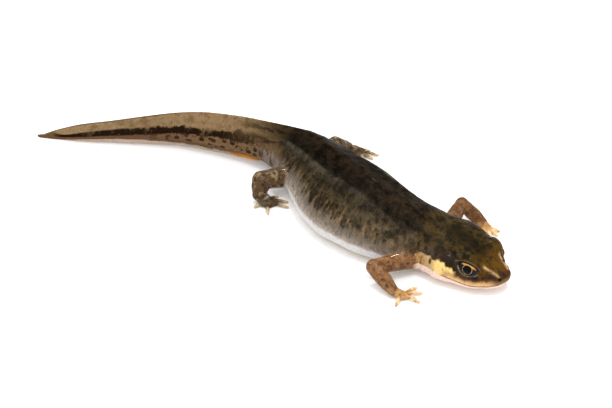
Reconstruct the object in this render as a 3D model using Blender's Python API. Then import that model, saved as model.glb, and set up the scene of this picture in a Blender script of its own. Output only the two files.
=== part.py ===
"""A smooth newt at life size, resting still on the floor with its tail laid out behind it.

The sizes are in millimetres. The head points along +X, the animal's right side faces -Y, and
the floor is z = 0. Stations are distances along the spine from the tip of the snout.
"""

import math
from typing import NamedTuple

import bmesh
import bpy
import numpy as np
from mathutils import Vector

MM = 0.001
GAP = 0.3
SIDES = (1, -1)
FLOOR = 0.0
PLAN_CENTRE = (-5.324, 0.514)

# The spine in plan, from the snout to the end of the tail thread.
SPINE = (
    ("snout", 33.45, -5.3),
    ("eyes", 29.05, -4.25),
    ("jaw", 25.1, -3.20),
    ("throat_fold", 22.4, -2.9),
    ("shoulder", 20.1, -2.8),
    ("chest", 16.2, -3.0),
    ("ribs", 12.0, -2.6),
    ("waist", 8.85, -1.85),
    ("belly", 5.4, -0.6),
    ("flank", 1.7, 1.4),
    ("loin", -2.3, 3.95),
    ("hip", -5.9, 5.55),
    ("tail_root", -9.5, 6.25),
    ("tail_bend", -12.6, 6.2),
    ("tail_high", -16.1, 5.75),
    ("tail_mid", -20.0, 5.1),
    ("tail_turn", -24.0, 4.2),
    ("tail_low", -28.3, 2.55),
    ("tail_thin", -33.0, 0.5),
    ("tail_point", -37.6, -1.4),
    ("thread_root", -41.2, -2.7),
    ("thread_tip", -44.6, -3.7),
)


class Section(NamedTuple):
    """One cross-section of the body: heights above the floor, half width and shape."""

    at: float
    half_width: float
    top: float
    under: float
    side: float
    crest: float
    lean: float
    square: float


SECTIONS = (
    Section(0.0, 0.0, 2.05, 1.75, 1.90, 0.0, 4, 2.2),
    Section(0.25, 0.95, 2.75, 1.30, 1.90, 0.0, 4, 2.2),
    Section(0.8, 1.88, 3.20, 1.05, 1.85, 0.00, 4, 2.2),
    Section(2.0, 2.95, 3.88, 0.82, 1.80, 0.00, 4, 2.3),
    Section(3.4, 3.80, 4.60, 0.62, 1.70, 0.00, 4, 2.5),
    Section(5.0, 4.32, 5.20, 0.52, 1.65, 0.00, 4, 2.6),
    Section(7.0, 5.02, 5.60, 0.42, 1.65, 0.00, 4, 2.7),
    Section(9.0, 5.32, 5.85, 0.36, 1.70, 0.00, 4, 2.6),
    Section(11.0, 5.00, 6.10, 0.28, 1.95, 0.05, 4, 2.4),
    Section(13.3, 5.05, 6.60, 0.22, 2.20, 0.05, 5, 2.2),
    Section(17.3, 5.85, 7.60, 0.00, 2.75, 0.15, 7, 1.95),
    Section(21.5, 6.55, 8.70, -0.15, 3.10, 0.20, 9, 1.85),
    Section(26.0, 6.75, 9.15, -0.25, 3.20, 0.25, 11, 1.85),
    Section(30.0, 6.15, 9.15, -0.25, 3.20, 0.25, 11, 1.85),
    Section(34.0, 5.00, 9.05, -0.15, 3.20, 0.30, 10, 1.85),
    Section(38.0, 3.95, 8.55, 0.05, 3.20, 0.35, 8, 1.9),
    Section(41.5, 3.05, 7.75, 0.25, 3.40, 0.50, 4, 2.0),
    Section(45.0, 2.25, 6.60, 0.55, 3.40, 1.15, 1, 2.0),
    Section(50.0, 1.75, 5.50, 1.05, 3.25, 1.95, 0, 2.0),
    Section(55.6, 1.45, 4.75, 1.20, 2.95, 2.20, 0, 2.0),
    Section(60.0, 1.25, 4.10, 1.12, 2.60, 2.00, 0, 2.0),
    Section(65.0, 1.05, 3.35, 1.00, 2.15, 1.72, 0, 2.0),
    Section(70.0, 0.85, 2.60, 0.78, 1.70, 1.45, 0, 2.0),
    Section(75.0, 0.60, 1.70, 0.42, 1.05, 1.35, 0, 2.0),
    Section(78.0, 0.36, 1.05, 0.10, 0.57, 0.98, 0, 2.0),
    Section(79.3, 0.27, 1.18, 0.00, 0.55, 0.30, 0, 2.0),
    Section(80.2, 0.24, 0.98, 0.00, 0.46, 0.0, 0, 2.0),
    Section(81.0, 0.20, 0.52, 0.00, 0.26, 0.0, 0, 2.0),
    Section(82.5, 0.16, 0.32, 0.00, 0.16, 0.0, 0, 2.0),
)

# Where the body is parted.
HEAD_END = 10.8
NECK_END = 13.1
TORSO_SPLIT = 27.0
TORSO_END = 41.6
TAIL_SPLITS = (54.0, 66.0)
FIN_START = 42.6
FIN_END = 78.6
KEEL_START = 46.5
KEEL_END = 76.5
FIN_HALF_THICKNESS = 0.28
BACK_RIDGE_WIDTH = 0.55
BELLY_SQUARE = 2.3

# The ridge along each side: the share it adds, then its middle and spread as angles from the top.
SIDE_RIDGE = (0.0595, 0.78, 0.20)
SIDE_RIDGE_SPAN = (12.0, 42.0)
SIDE_RIDGE_FADE = 4.0

# How finely the body is modelled: steps along the spine and points down one side.
SNOUT_STATIONS = (0.08, 0.25, 0.5, 0.8, 1.15)
HEAD_START = 1.6
HEAD_STEP = 0.55
HEAD_ROWS = (7, 4)
BODY_STEP = 1.0
BODY_ROWS = 16
TAIL_STEP = 1.2
TAIL_ROWS = 10
FIN_ROWS = 3
KEEL_ROWS = 2
TIP_MARGIN = 0.3
LEAST_HEIGHT = 0.2
LEAST_REACH = 0.05

# The mouth line runs round the snout at these heights and ends at its corner.
MOUTH = ((0.0, 1.90), (1.0, 1.82), (3.0, 1.70), (5.0, 1.80), (7.0, 2.15))
MOUTH_CORNER = 7.2
MOUTH_DEPTH = 0.22
LIP_HEIGHT = 0.20
LIP_SWELL = 0.07
LIP_ROWS = (1.0, 0.35, 0.0, -0.35, -1.0)
LIP_SHARE = 0.35
LINE_EDGE = 0.2
LIP_EDGE = 1.1
LOWER_LIP_SWELL = -0.6
FULL_LIP_WIDTH = 2.0
MOUTH_CORNER_FADE = (0.8, 0.3)
SNOUT_OVERHANG = 0.30
BLUNT_LENGTH = 2.2
OVERHANG_RISE = 0.5

EYE_AT = 4.50
EYE_OUT = 2.60
EYE_HEIGHT = 3.55
EYE_RADIUS = 1.45
EYE_GAP = 0.20
EYE_TURN = 20.0
EYE_LIFT = 24.0
LID_THICKNESS = 0.26
LID_OPENING = (1.34, 0.86)
LID_CUTTER = ((0.0, 0.9), (4.0, 1.25))
LID_CUTTER_SIDES = 20
NOSTRIL_AT = 0.62
NOSTRIL_OUT = 1.08
NOSTRIL_HEIGHT = 2.70
NOSTRIL_RADIUS = 0.20


class Limb(NamedTuple):
    """One leg: root, bend and ankle, radii from root to ankle, the palm, and its digits' ends."""

    name: str
    parts: tuple
    joints: tuple
    radii: tuple
    palm: tuple
    palm_width: float
    digits: tuple


LIMBS = (
    Limb(
        "foreleg_right",
        ("upper_arm", "forearm", "hand"),
        ((20.9, -5.6, 2.1), (16.35, -11.4, 2.65), (19.98, -12.9, 0.98)),
        (1.85, 1.35, 1.08, 1.12, 0.82),
        (21.2, -12.6, 0.42),
        0.95,
        ((21.3, -15.0), (24.1, -12.7), (23.6, -10.7), (22.4, -10.0)),
    ),
    Limb(
        "foreleg_left",
        ("upper_arm", "forearm", "hand"),
        ((21.9, 0.9, 2.9), (21.7, 7.0, 2.8), (25.2, 6.6, 0.95)),
        (1.30, 1.15, 0.98, 1.02, 0.72),
        (25.9, 6.3, 0.42),
        0.95,
        ((28.0, 6.7), (28.1, 5.6), (27.4, 4.7), (26.2, 4.3)),
    ),
    Limb(
        "hindleg_right",
        ("thigh", "shank", "foot"),
        ((-2.4, 2.6, 2.9), (-6.5, -1.65, 3.25), (-6.38, -2.6, 1.35)),
        (1.80, 1.62, 1.36, 1.32, 1.00),
        (-5.2, -2.6, 0.48),
        1.30,
        ((-6.3, -4.5), (-3.6, -5.0), (-1.7, -2.2), (-2.4, -1.0), (-4.3, -0.6)),
    ),
    Limb(
        "hindleg_left",
        ("thigh", "shank", "foot"),
        ((-1.9, 5.4, 3.1), (-0.8, 11.4, 3.2), (0.1, 13.9, 1.3)),
        (1.70, 1.50, 1.22, 1.05, 0.82),
        (1.2, 14.5, 0.48),
        1.30,
        ((1.1, 15.7), (2.9, 15.9), (4.6, 15.5), (4.3, 14.2), (3.2, 13.3)),
    ),
)
DIGIT_RADII = (0.42, 0.38, 0.34, 0.31, 0.22)
DIGIT_HEIGHT = 0.26
KNUCKLE_RISE = 0.14
CUT_REACH = 2.4
ANKLE_CUT_REACH = 1.7
JOINT_FULLNESS = 1.05
PALM_FLATNESS = 0.5
PALM_END_SHARE = 0.7
DIGIT_BASE_AT = 0.12
KNUCKLE_AT = 0.55
DIGIT_BEND_AT = 0.6
CLEARANCE_SPAN = (9.0, 46.0)
FLOOR_CUTTER = (200.0, 10.0)

COLOURS = {
    "back": (0.075, 0.058, 0.030),
    "tail": (0.180, 0.125, 0.060),
    "fin": (0.270, 0.190, 0.095),
    "leg": (0.190, 0.105, 0.045),
    "toe": (0.420, 0.280, 0.110),
    "eye": (0.030, 0.022, 0.014),
}
SKIN_ROUGHNESS = 0.32
EYE_ROUGHNESS = 0.06


def smooth(keys, values, at, monotone=True):
    """Value at a key on the cubic through the pairs; a monotone one never overshoots."""
    keys, values = np.asarray(keys, float), np.asarray(values, float)
    steps = np.diff(keys)
    rise = np.diff(values) / steps
    slopes = np.empty_like(values)
    slopes[0], slopes[-1] = rise[0], rise[-1]
    slopes[1:-1] = (rise[:-1] * steps[1:] + rise[1:] * steps[:-1]) / (steps[:-1] + steps[1:])
    if monotone:
        turning = rise[:-1] * rise[1:] <= 0
        most = 3 * np.minimum(np.abs(rise[:-1]), np.abs(rise[1:]))
        slopes[1:-1] = np.where(turning, 0, np.clip(slopes[1:-1], -most, most))
    i = np.clip(np.searchsorted(keys, at) - 1, 0, len(steps) - 1)
    t = (np.asarray(at, float) - keys[i]) / steps[i]
    ease = t * t * (3 - 2 * t)
    start = slopes[i] * (t - 2 * t * t + t**3)
    end = slopes[i + 1] * (t**3 - t * t)
    return values[i] * (1 - ease) + values[i + 1] * ease + (start + end) * steps[i]


class Spine:
    """The line of the backbone in plan, measured from the snout."""

    def __init__(self, points):
        plan = np.array([point[1:] for point in points])
        self.plan = plan
        self.keys = np.concatenate([[0], np.cumsum(np.linalg.norm(np.diff(plan, axis=0), axis=1))])

    def centre(self, at):
        return np.array([smooth(self.keys, self.plan[:, i], at, False) for i in (0, 1)])

    def forward(self, at):
        step = 0.05
        way = self.centre(max(at - step, 0)) - self.centre(min(at + step, self.keys[-1]))
        return way / np.linalg.norm(way)

    def place(self, at, right, height, ahead=0.0):
        """World point of an offset to the animal's right, a height and a step ahead."""
        way = self.forward(at)
        sheared = right - height * math.tan(math.radians(value("lean", at)))
        x, y = self.centre(at) + way * ahead + np.array([way[1], -way[0]]) * sheared
        return (x, y, max(height, FLOOR))


BACKBONE = Spine(SPINE)


def value(field, at):
    keys = [section.at for section in SECTIONS]
    return float(smooth(keys, [getattr(section, field) for section in SECTIONS], at))


def bump(x, middle, width):
    return math.exp(-(((x - middle) / width) ** 2))


def ramp(x, low, high):
    t = min(max((x - low) / (high - low), 0), 1)
    return t * t * (3 - 2 * t)


def mouth_height(at):
    keys, heights = zip(*MOUTH)
    return float(smooth(keys, heights, min(at, MOUTH_CORNER)))


def half_section(at, grow, count):
    """(right, height) pairs down the right side, from the ridge of the back to the belly."""
    width = value("half_width", at) + grow
    top, under, side = value("top", at) + grow, value("under", at) - grow, value("side", at)
    crest, square = value("crest", at), value("square", at)
    amount, place, spread = SIDE_RIDGE
    low, high = SIDE_RIDGE_SPAN
    amount *= ramp(at, low, low + SIDE_RIDGE_FADE) * (1 - ramp(at, high - SIDE_RIDGE_FADE, high))
    points = []
    for i in range(count + 1):
        angle = math.pi * i / count
        across, up = math.sin(angle), math.cos(angle)
        power = 2 / (square if up > 0 else BELLY_SQUARE)
        reach = top - side if up > 0 else side - under
        swell = 1 + amount * bump(angle, place, spread)
        right = width * across**power * swell
        height = side + math.copysign(abs(up) ** power, up) * reach * (swell if up > 0 else 1)
        points.append((right, height + crest * bump(right, 0, BACK_RIDGE_WIDTH) * (up > 0)))
    return points


def body_ring(at, grow, count):
    """One closed ring of world points round the body."""
    half = half_section(at, grow, count)
    around = half + [(-right, height) for right, height in half[-2:0:-1]]
    return [BACKBONE.place(at, right, height) for right, height in around]


def head_levels(at, upper, lower):
    """(right, height) pairs of the head's right side, with rows at the lips and mouth line."""
    width, square = value("half_width", at), value("square", at)
    top, under, side = value("top", at), value("under", at), value("side", at)
    mouth = mouth_height(at)
    lip = min(LIP_HEIGHT, LIP_SHARE * (top - mouth), LIP_SHARE * (mouth - under))
    above, below = mouth + lip, mouth - lip
    quarter = 0.5 * math.pi
    heights = [above + (top - above) * math.cos(quarter * i / upper) for i in range(upper)]
    heights += [mouth + share * lip for share in LIP_ROWS]
    heights += [below - (below - under) * math.sin(quarter * (i + 1) / lower) for i in range(lower)]
    before, behind = MOUTH_CORNER_FADE
    open_mouth = 1 - ramp(at, MOUTH_CORNER - before, MOUTH_CORNER + behind)
    fit = min(width / FULL_LIP_WIDTH, 1)
    pairs = []
    for height in heights:
        reach, power = (top - side, square) if height > side else (side - under, BELLY_SQUARE)
        share = min(abs(height - side) / reach, 1)
        right = width * (1 - share**power) ** (1 / power)
        near = abs(height - mouth) / lip
        if near < LINE_EDGE:
            right -= MOUTH_DEPTH * open_mouth * fit
        elif near < LIP_EDGE:
            right += LIP_SWELL * open_mouth * fit * (1 if height > mouth else LOWER_LIP_SWELL)
        pairs.append((max(right, 0), height))
    pairs[0], pairs[-1] = (0, pairs[0][1]), (0, pairs[-1][1])
    return pairs


def head_ring(at, upper, lower):
    half = head_levels(at, upper, lower)
    mouth = mouth_height(at)
    blunt = 1 - ramp(at, 0, BLUNT_LENGTH)
    ring = []
    for right, height in half + [(-right, height) for right, height in half[-2:0:-1]]:
        ahead = SNOUT_OVERHANG * blunt * ramp(height, mouth - OVERHANG_RISE, mouth + OVERHANG_RISE)
        ring.append(BACKBONE.place(at, right, height, ahead))
    return ring


def blade_ring(at, low, high, rows):
    """Ring of one storey of the tail: the muscle with a fin above and below it."""
    width, side = value("half_width", at), value("side", at)
    top, under = value("top", at), value("under", at)
    half = []
    for i in range(rows + 1):
        height = high + (low - high) * i / rows
        reach = top - side if height > side else side - under
        share = min(abs(height - side) / max(reach, LEAST_REACH), 1)
        muscle = width * math.sqrt(1 - share * share)
        fin = min(FIN_HALF_THICKNESS, width)
        half.append(((muscle**4 + fin**4) ** 0.25, height))
    ring = half + [(-right, height) for right, height in reversed(half)]
    return [BACKBONE.place(at, right, height) for right, height in ring]


def new_object(name, mesh, colour):
    piece = bpy.data.objects.new(name, mesh)
    bpy.context.scene.collection.objects.link(piece)
    material = bpy.data.materials.get(colour) or bpy.data.materials.new(colour)
    material.use_nodes = True
    shader = material.node_tree.nodes["Principled BSDF"]
    shader.inputs["Base Color"].default_value = (*COLOURS[colour], 1)
    shader.inputs["Roughness"].default_value = EYE_ROUGHNESS if colour == "eye" else SKIN_ROUGHNESS
    shader.inputs["Metallic"].default_value = 0.0
    mesh.materials.append(material)
    mesh.shade_smooth()
    return piece


def loft(name, rings, colour, poles=(None, None)):
    """Closed mesh through rings of equal count; an end without a pole is closed at its middle."""
    bm = bmesh.new()
    rows = [[bm.verts.new(to_metres(point)) for point in ring] for ring in rings]
    count = len(rings[0])
    for row, following in zip(rows, rows[1:]):
        for i in range(count):
            j = (i + 1) % count
            a, b, c, d = row[i], row[j], following[j], following[i]
            if i < count // 2:
                faces = ((a, b, c), (a, c, d))
            else:
                faces = ((a, b, d), (b, c, d))
            for face in faces:
                bm.faces.new(face)
    for row, ring, pole, turn in zip((rows[0], rows[-1]), (rings[0], rings[-1]), poles, (1, -1)):
        middle = bm.verts.new(to_metres(pole if pole is not None else np.mean(ring, axis=0)))
        for i in range(count):
            pair = (row[i], row[(i + 1) % count])[::turn]
            bm.faces.new((*pair, middle))
    bmesh.ops.recalc_face_normals(bm, faces=bm.faces)
    mesh = bpy.data.meshes.new(name)
    bm.to_mesh(mesh)
    bm.free()
    return new_object(name, mesh, colour)


def to_metres(point):
    x, y, z = point
    return Vector((x - PLAN_CENTRE[0], y - PLAN_CENTRE[1], z)) * MM


def remove(pieces):
    for piece in pieces:
        bpy.data.objects.remove(piece, do_unlink=True)


def boolean(piece, operation, others, keep_all=False):
    """Joins or cuts a piece with others by one exact Boolean, applied; keeps its largest shell."""
    group = bpy.data.collections.new("operands")
    for other in others:
        group.objects.link(other)
    modifier = piece.modifiers.new(operation.lower(), "BOOLEAN")
    modifier.operation = operation
    modifier.operand_type = "COLLECTION"
    modifier.collection = group
    modifier.solver = "EXACT"
    graph = bpy.context.evaluated_depsgraph_get()
    mesh = bpy.data.meshes.new_from_object(piece.evaluated_get(graph))
    piece.modifiers.clear()
    piece.data = mesh
    bpy.data.collections.remove(group)
    remove(others)
    if not keep_all:
        largest = max(shells_of(mesh), key=len)
        delete_vertices(mesh, set(range(len(mesh.vertices))) - largest)


def shells_of(mesh):
    """Sets of vertex numbers, one for each connected surface."""
    bm = bmesh.new()
    bm.from_mesh(mesh)
    left, shells = set(bm.verts), []
    while left:
        start = left.pop()
        shell, edge = {start.index}, [start]
        while edge:
            vertex = edge.pop()
            near = {link.other_vert(vertex) for link in vertex.link_edges} & left
            left -= near
            shell |= {other.index for other in near}
            edge += near
        shells.append(shell)
    bm.free()
    return shells


def delete_vertices(mesh, numbers):
    bm = bmesh.new()
    bm.from_mesh(mesh)
    gone = [vertex for vertex in bm.verts if vertex.index in numbers]
    bmesh.ops.delete(bm, geom=gone, context="VERTS")
    bm.to_mesh(mesh)
    bm.free()


def ball(name, centre, radius, colour, columns=16, rows=10):
    bm = bmesh.new()
    bmesh.ops.create_uvsphere(bm, u_segments=columns, v_segments=rows, radius=radius * MM)
    bmesh.ops.triangulate(bm, faces=bm.faces)
    bmesh.ops.translate(bm, verts=bm.verts, vec=to_metres(centre))
    mesh = bpy.data.meshes.new(name)
    bm.to_mesh(mesh)
    bm.free()
    return new_object(name, mesh, colour)


def tube(name, path, radii, sides, colour, flat=1.0):
    """Closed round tube along a path, with rings square to it; flat squeezes it in height."""
    path = [Vector(point) for point in path]
    rings, across = [], None
    for i, point in enumerate(path):
        way = (path[min(i + 1, len(path) - 1)] - path[max(i - 1, 0)]).normalized()
        across = way.cross(Vector((0, 0, 1))) if across is None else across - way * across.dot(way)
        across.normalize()
        up = across.cross(way)
        ring = []
        for k in range(sides):
            turn = 2 * math.pi * k / sides
            offset = across * math.cos(turn) + up * math.sin(turn) * flat
            ring.append(point + offset * radii[i])
        rings.append(ring)
    ends = [path[0], path[-1]]
    return loft(name, rings, colour, ends)


def eye_frame(side):
    """Centre, outward, forward and upward directions of an eye; side is 1 on the right."""
    centre = Vector(BACKBONE.place(EYE_AT, side * EYE_OUT, EYE_HEIGHT))
    ahead = BACKBONE.forward(EYE_AT)
    ahead = Vector((ahead[0], ahead[1], 0))
    right = Vector((ahead.y, -ahead.x, 0)) * side
    turn, lift = math.radians(EYE_TURN), math.radians(EYE_LIFT)
    out = (right * math.cos(turn) + ahead * math.sin(turn)) * math.cos(lift)
    out += Vector((0, 0, math.sin(lift)))
    along = (ahead - out * ahead.dot(out)).normalized()
    up = out.cross(along) * -side
    return centre, out, along, up if up.z > 0 else -up


def opening(side):
    """Oval cutter that opens the lids in front of one eye."""
    centre, out, along, up = eye_frame(side)
    long, tall = LID_OPENING
    rings = []
    for reach, size in LID_CUTTER:
        ring = []
        for i in range(LID_CUTTER_SIDES):
            angle = 2 * math.pi * i / LID_CUTTER_SIDES
            across = along * math.cos(angle) * long + up * math.sin(angle) * tall
            ring.append(centre + out * reach + across * size)
        rings.append(ring)
    return loft("opening", rings, "back")


def spaced(start, end, step):
    count = max(round((end - start) / step), 1)
    return [start + (end - start) * i / count for i in range(count + 1)]


def build_head():
    stations = [*SNOUT_STATIONS, *spaced(HEAD_START, HEAD_END - GAP / 2, HEAD_STEP)]
    rings = [head_ring(at, *HEAD_ROWS) for at in stations]
    tip = BACKBONE.place(0, 0, mouth_height(0), SNOUT_OVERHANG / 2)
    head = loft("head", rings, "back", (tip, None))
    brow_radius = EYE_RADIUS + EYE_GAP + LID_THICKNESS
    brows = [ball("brow", eye_frame(side)[0], brow_radius, "back") for side in SIDES]
    boolean(head, "UNION", brows)
    cutters = [opening(side) for side in SIDES]
    cutters += [ball("socket", eye_frame(side)[0], EYE_RADIUS + EYE_GAP, "back") for side in SIDES]
    for side in SIDES:
        nostril = BACKBONE.place(NOSTRIL_AT, side * NOSTRIL_OUT, NOSTRIL_HEIGHT, SNOUT_OVERHANG)
        cutters.append(ball("nostril", nostril, NOSTRIL_RADIUS, "back", 8, 6))
    boolean(head, "DIFFERENCE", cutters)


def build_eyes():
    for side, name in ((1, "eye_right"), (-1, "eye_left")):
        ball(name, eye_frame(side)[0], EYE_RADIUS, "eye")


def build_trunk():
    bounds = (("neck", HEAD_END, NECK_END), ("torso_front", NECK_END, TORSO_SPLIT))
    bounds += (("torso_rear", TORSO_SPLIT, TORSO_END),)
    for name, start, end in bounds:
        stations = spaced(start + GAP / 2, end - GAP / 2, BODY_STEP)
        loft(name, [body_ring(at, 0, BODY_ROWS) for at in stations], "back")


def build_tail():
    cuts = (TORSO_END, *TAIL_SPLITS)
    for name, start, end in zip(("tail_base", "tail_middle"), cuts, cuts[1:]):
        stations = spaced(start + GAP / 2, end - GAP / 2, TAIL_STEP)
        loft(name, [tail_core_ring(at) for at in stations], "tail")
    end = BACKBONE.keys[-1]
    stations = spaced(cuts[-1] + GAP / 2, end - TIP_MARGIN, TAIL_STEP)
    loft("tail_tip", [tail_core_ring(at) for at in stations], "tail")


def fin_root(at):
    """Height at which the upper fin is parted from the muscle."""
    return value("top", at)


def keel_root(at):
    return value("under", at)


def tail_core_ring(at):
    crest = value("crest", at)
    high, low = value("top", at) + crest, keel_root(at) * keel_share(at)
    if FIN_START - GAP < at < FIN_END + GAP:
        high = fin_root(at) - GAP / 2
    if KEEL_START - GAP < at < KEEL_END + GAP:
        low = keel_root(at) + GAP / 2
    return blade_ring(at, low, high, TAIL_ROWS)


def keel_share(at):
    """The underside comes down to the floor before and behind the lower fin."""
    return 1 - ramp(at, TORSO_END, KEEL_START - 1) if at < KEEL_START else 0


def build_fins():
    rings = []
    for at in spaced(FIN_START, FIN_END, TAIL_STEP):
        root = fin_root(at) + GAP / 2
        edge = max(value("top", at) + value("crest", at), root + LEAST_HEIGHT)
        rings.append(blade_ring(at, root, edge, FIN_ROWS))
    loft("tail_fin_upper", rings, "fin")
    rings = []
    for at in spaced(KEEL_START, KEEL_END, TAIL_STEP):
        root = keel_root(at) - GAP / 2
        rings.append(blade_ring(at, FLOOR, root, KEEL_ROWS))
    loft("tail_fin_lower", rings, "fin")


def thigh_and_shank(limb):
    """Two tubes with muscle in them that share a ball at the bend, and the palm and digits."""
    root, bend, ankle = (Vector(joint) for joint in limb.joints)
    radii = limb.radii
    shares = (0, 0.25, 0.5, 0.75, 1)
    upper = [root.lerp(bend, t) for t in shares]
    lower = [bend.lerp(ankle, t) for t in shares]
    swell = [[float(smooth((0, 0.5, 1), part, t)) for t in shares] for part in (radii[:3], radii[2:])]
    leg = tube("leg", upper, swell[0], 10, "leg")
    shank = tube("shank", lower, swell[1], 10, "leg")
    pieces = [shank, ball("bend", bend, radii[2] * JOINT_FULLNESS, "leg", 12, 10)]
    palm = Vector(limb.palm)
    path = [ankle, ankle.lerp(palm, 0.5), palm, palm + (palm - ankle) * 0.5]
    width = limb.palm_width
    pieces.append(ball("ankle", ankle, radii[-1] * JOINT_FULLNESS, "leg", 12, 10))
    radii = (radii[-1], (radii[-1] + width) / 2, width, width * PALM_END_SHARE)
    pieces.append(tube("palm", path, radii, 10, "toe", PALM_FLATNESS))
    for x, y in limb.digits:
        tip = Vector((x, y, DIGIT_HEIGHT))
        base = palm.lerp(tip, DIGIT_BASE_AT)
        knuckle = palm.lerp(tip, KNUCKLE_AT) + Vector((0, 0, KNUCKLE_RISE))
        path = [base, base.lerp(knuckle, DIGIT_BEND_AT), knuckle, knuckle.lerp(tip, DIGIT_BEND_AT), tip]
        pieces.append(tube("digit", path, DIGIT_RADII, 7, "toe"))
    return leg, pieces


def slab(middle, way, thickness, reach):
    """Square plate across a direction."""
    bm = bmesh.new()
    bmesh.ops.create_cube(bm, size=1)
    bmesh.ops.scale(bm, vec=(reach * 2 * MM, reach * 2 * MM, thickness * MM), verts=bm.verts)
    turn = Vector(way).to_track_quat("Z", "Y").to_matrix()
    bmesh.ops.rotate(bm, matrix=turn, verts=bm.verts)
    bmesh.ops.translate(bm, vec=to_metres(middle), verts=bm.verts)
    mesh = bpy.data.meshes.new("slab")
    bm.to_mesh(mesh)
    bm.free()
    return new_object("slab", mesh, "back")


def build_limb(limb):
    leg, pieces = thigh_and_shank(limb)
    boolean(leg, "UNION", pieces)
    root, bend, ankle = (Vector(joint) for joint in limb.joints)
    across_bend = (bend - root).normalized() + (ankle - bend).normalized()
    cutters = [trunk_clearance(), floor_slab()]
    cutters.append(slab(bend, across_bend, GAP, CUT_REACH))
    cutters.append(slab(ankle, ankle - bend, GAP, ANKLE_CUT_REACH))
    boolean(leg, "DIFFERENCE", cutters, keep_all=True)
    middles = (root.lerp(bend, 0.75), bend.lerp(ankle, 0.6), Vector(limb.palm))
    part_shells(leg, [f"{limb.name}_{part}" for part in limb.parts], middles, ("leg", "leg", "toe"))


def part_shells(whole, names, middles, colours):
    """Makes one object of the shell nearest to each middle, and removes the whole."""
    groups = shells_of(whole.data)
    for name, middle, colour in zip(names, middles, colours):
        target, points = to_metres(middle), whole.data.vertices
        nearest = min(groups, key=lambda shell: min((points[i].co - target).length for i in shell))
        mesh = whole.data.copy()
        mesh.name = name
        mesh.materials.clear()
        delete_vertices(mesh, set(range(len(mesh.vertices))) - nearest)
        new_object(name, mesh, colour)
    remove([whole])


def floor_slab():
    """Plate that cuts off all that lies below the floor."""
    size, depth = FLOOR_CUTTER
    middle = (PLAN_CENTRE[0], PLAN_CENTRE[1], FLOOR - depth / 2)
    return slab(middle, (0, 0, 1), depth, size / 2)


def trunk_clearance():
    """The trunk grown by one gap, which parts the legs from it."""
    stations = spaced(*CLEARANCE_SPAN, TAIL_STEP)
    return loft("clearance", [body_ring(at, GAP, BODY_ROWS) for at in stations], "back")


def main():
    for piece in list(bpy.data.objects):
        bpy.data.objects.remove(piece, do_unlink=True)
    build_head()
    build_eyes()
    build_trunk()
    build_tail()
    build_fins()
    for limb in LIMBS:
        build_limb(limb)


main()
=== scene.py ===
"""A newt at life size on a pale studio floor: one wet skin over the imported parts, and two eyes.

Sizes are in millimetres until a mesh is made. The head points along +X, the animal's right side
faces -Y, and the floor is z = 0. Stations run along the backbone from the tip of the snout.
"""

import logging
import math
from dataclasses import dataclass
from enum import Enum
from typing import Iterable, Optional, Sequence

import bmesh
import bpy
import numpy as np
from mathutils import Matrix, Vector


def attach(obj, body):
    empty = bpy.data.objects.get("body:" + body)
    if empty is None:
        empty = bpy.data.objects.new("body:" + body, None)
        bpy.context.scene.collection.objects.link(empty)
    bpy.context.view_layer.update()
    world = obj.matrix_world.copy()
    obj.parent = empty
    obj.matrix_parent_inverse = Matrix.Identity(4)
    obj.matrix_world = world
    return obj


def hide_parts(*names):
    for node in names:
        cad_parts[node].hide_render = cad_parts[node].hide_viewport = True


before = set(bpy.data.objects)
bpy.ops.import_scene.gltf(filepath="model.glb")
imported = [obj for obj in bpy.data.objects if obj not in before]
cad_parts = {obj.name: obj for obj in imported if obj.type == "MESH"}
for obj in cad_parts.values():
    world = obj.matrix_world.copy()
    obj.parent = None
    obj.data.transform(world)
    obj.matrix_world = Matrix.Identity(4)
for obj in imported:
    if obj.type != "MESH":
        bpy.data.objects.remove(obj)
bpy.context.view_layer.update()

LOG = logging.getLogger("newt")
MM = 0.001
PLAN_CENTRE = np.array((-5.324, 0.514, 0.0))
TINY = 1e-6
THIN = 0.05
FAR = 5.0


class Side(Enum):
    """Which flank a paired form sits on."""

    RIGHT = 1
    LEFT = -1


def smooth(keys: Sequence, values: Sequence, at: np.ndarray, monotone: bool = True) -> np.ndarray:
    """Cubic through pairs of keys and values.

    Args:
        keys: Rising positions.
        values: The value at each position.
        at: Where the curve is wanted.
        monotone: Whether the curve never overshoots its values.

    Returns:
        The values there.
    """
    keys, values, at = (np.asarray(item, float) for item in (keys, values, at))
    steps = np.diff(keys)
    rise = np.diff(values) / steps
    slopes = np.empty_like(values)
    slopes[0], slopes[-1] = rise[0], rise[-1]
    slopes[1:-1] = (rise[:-1] * steps[1:] + rise[1:] * steps[:-1]) / (steps[:-1] + steps[1:])
    if monotone:
        turning = rise[:-1] * rise[1:] <= 0
        most = 3 * np.minimum(np.abs(rise[:-1]), np.abs(rise[1:]))
        slopes[1:-1] = np.where(turning, 0, np.clip(slopes[1:-1], -most, most))
    i = np.clip(np.searchsorted(keys, at) - 1, 0, len(steps) - 1)
    t = (at - keys[i]) / steps[i]
    ease = t * t * (3 - 2 * t)
    start, end = slopes[i] * (t - 2 * t * t + t**3), slopes[i + 1] * (t**3 - t * t)
    return values[i] * (1 - ease) + values[i + 1] * ease + (start + end) * steps[i]


def ramp(x: np.ndarray, low: float, high: float) -> np.ndarray:
    """Soft step from 0 at low to 1 at high."""
    t = np.clip((np.asarray(x, float) - low) / (high - low), 0, 1)
    return t * t * (3 - 2 * t)


def bump(x: np.ndarray, middle: float, width: float) -> np.ndarray:
    """Bell of height 1 about a middle."""
    return np.exp(-(((np.asarray(x, float) - middle) / width) ** 2))


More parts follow.
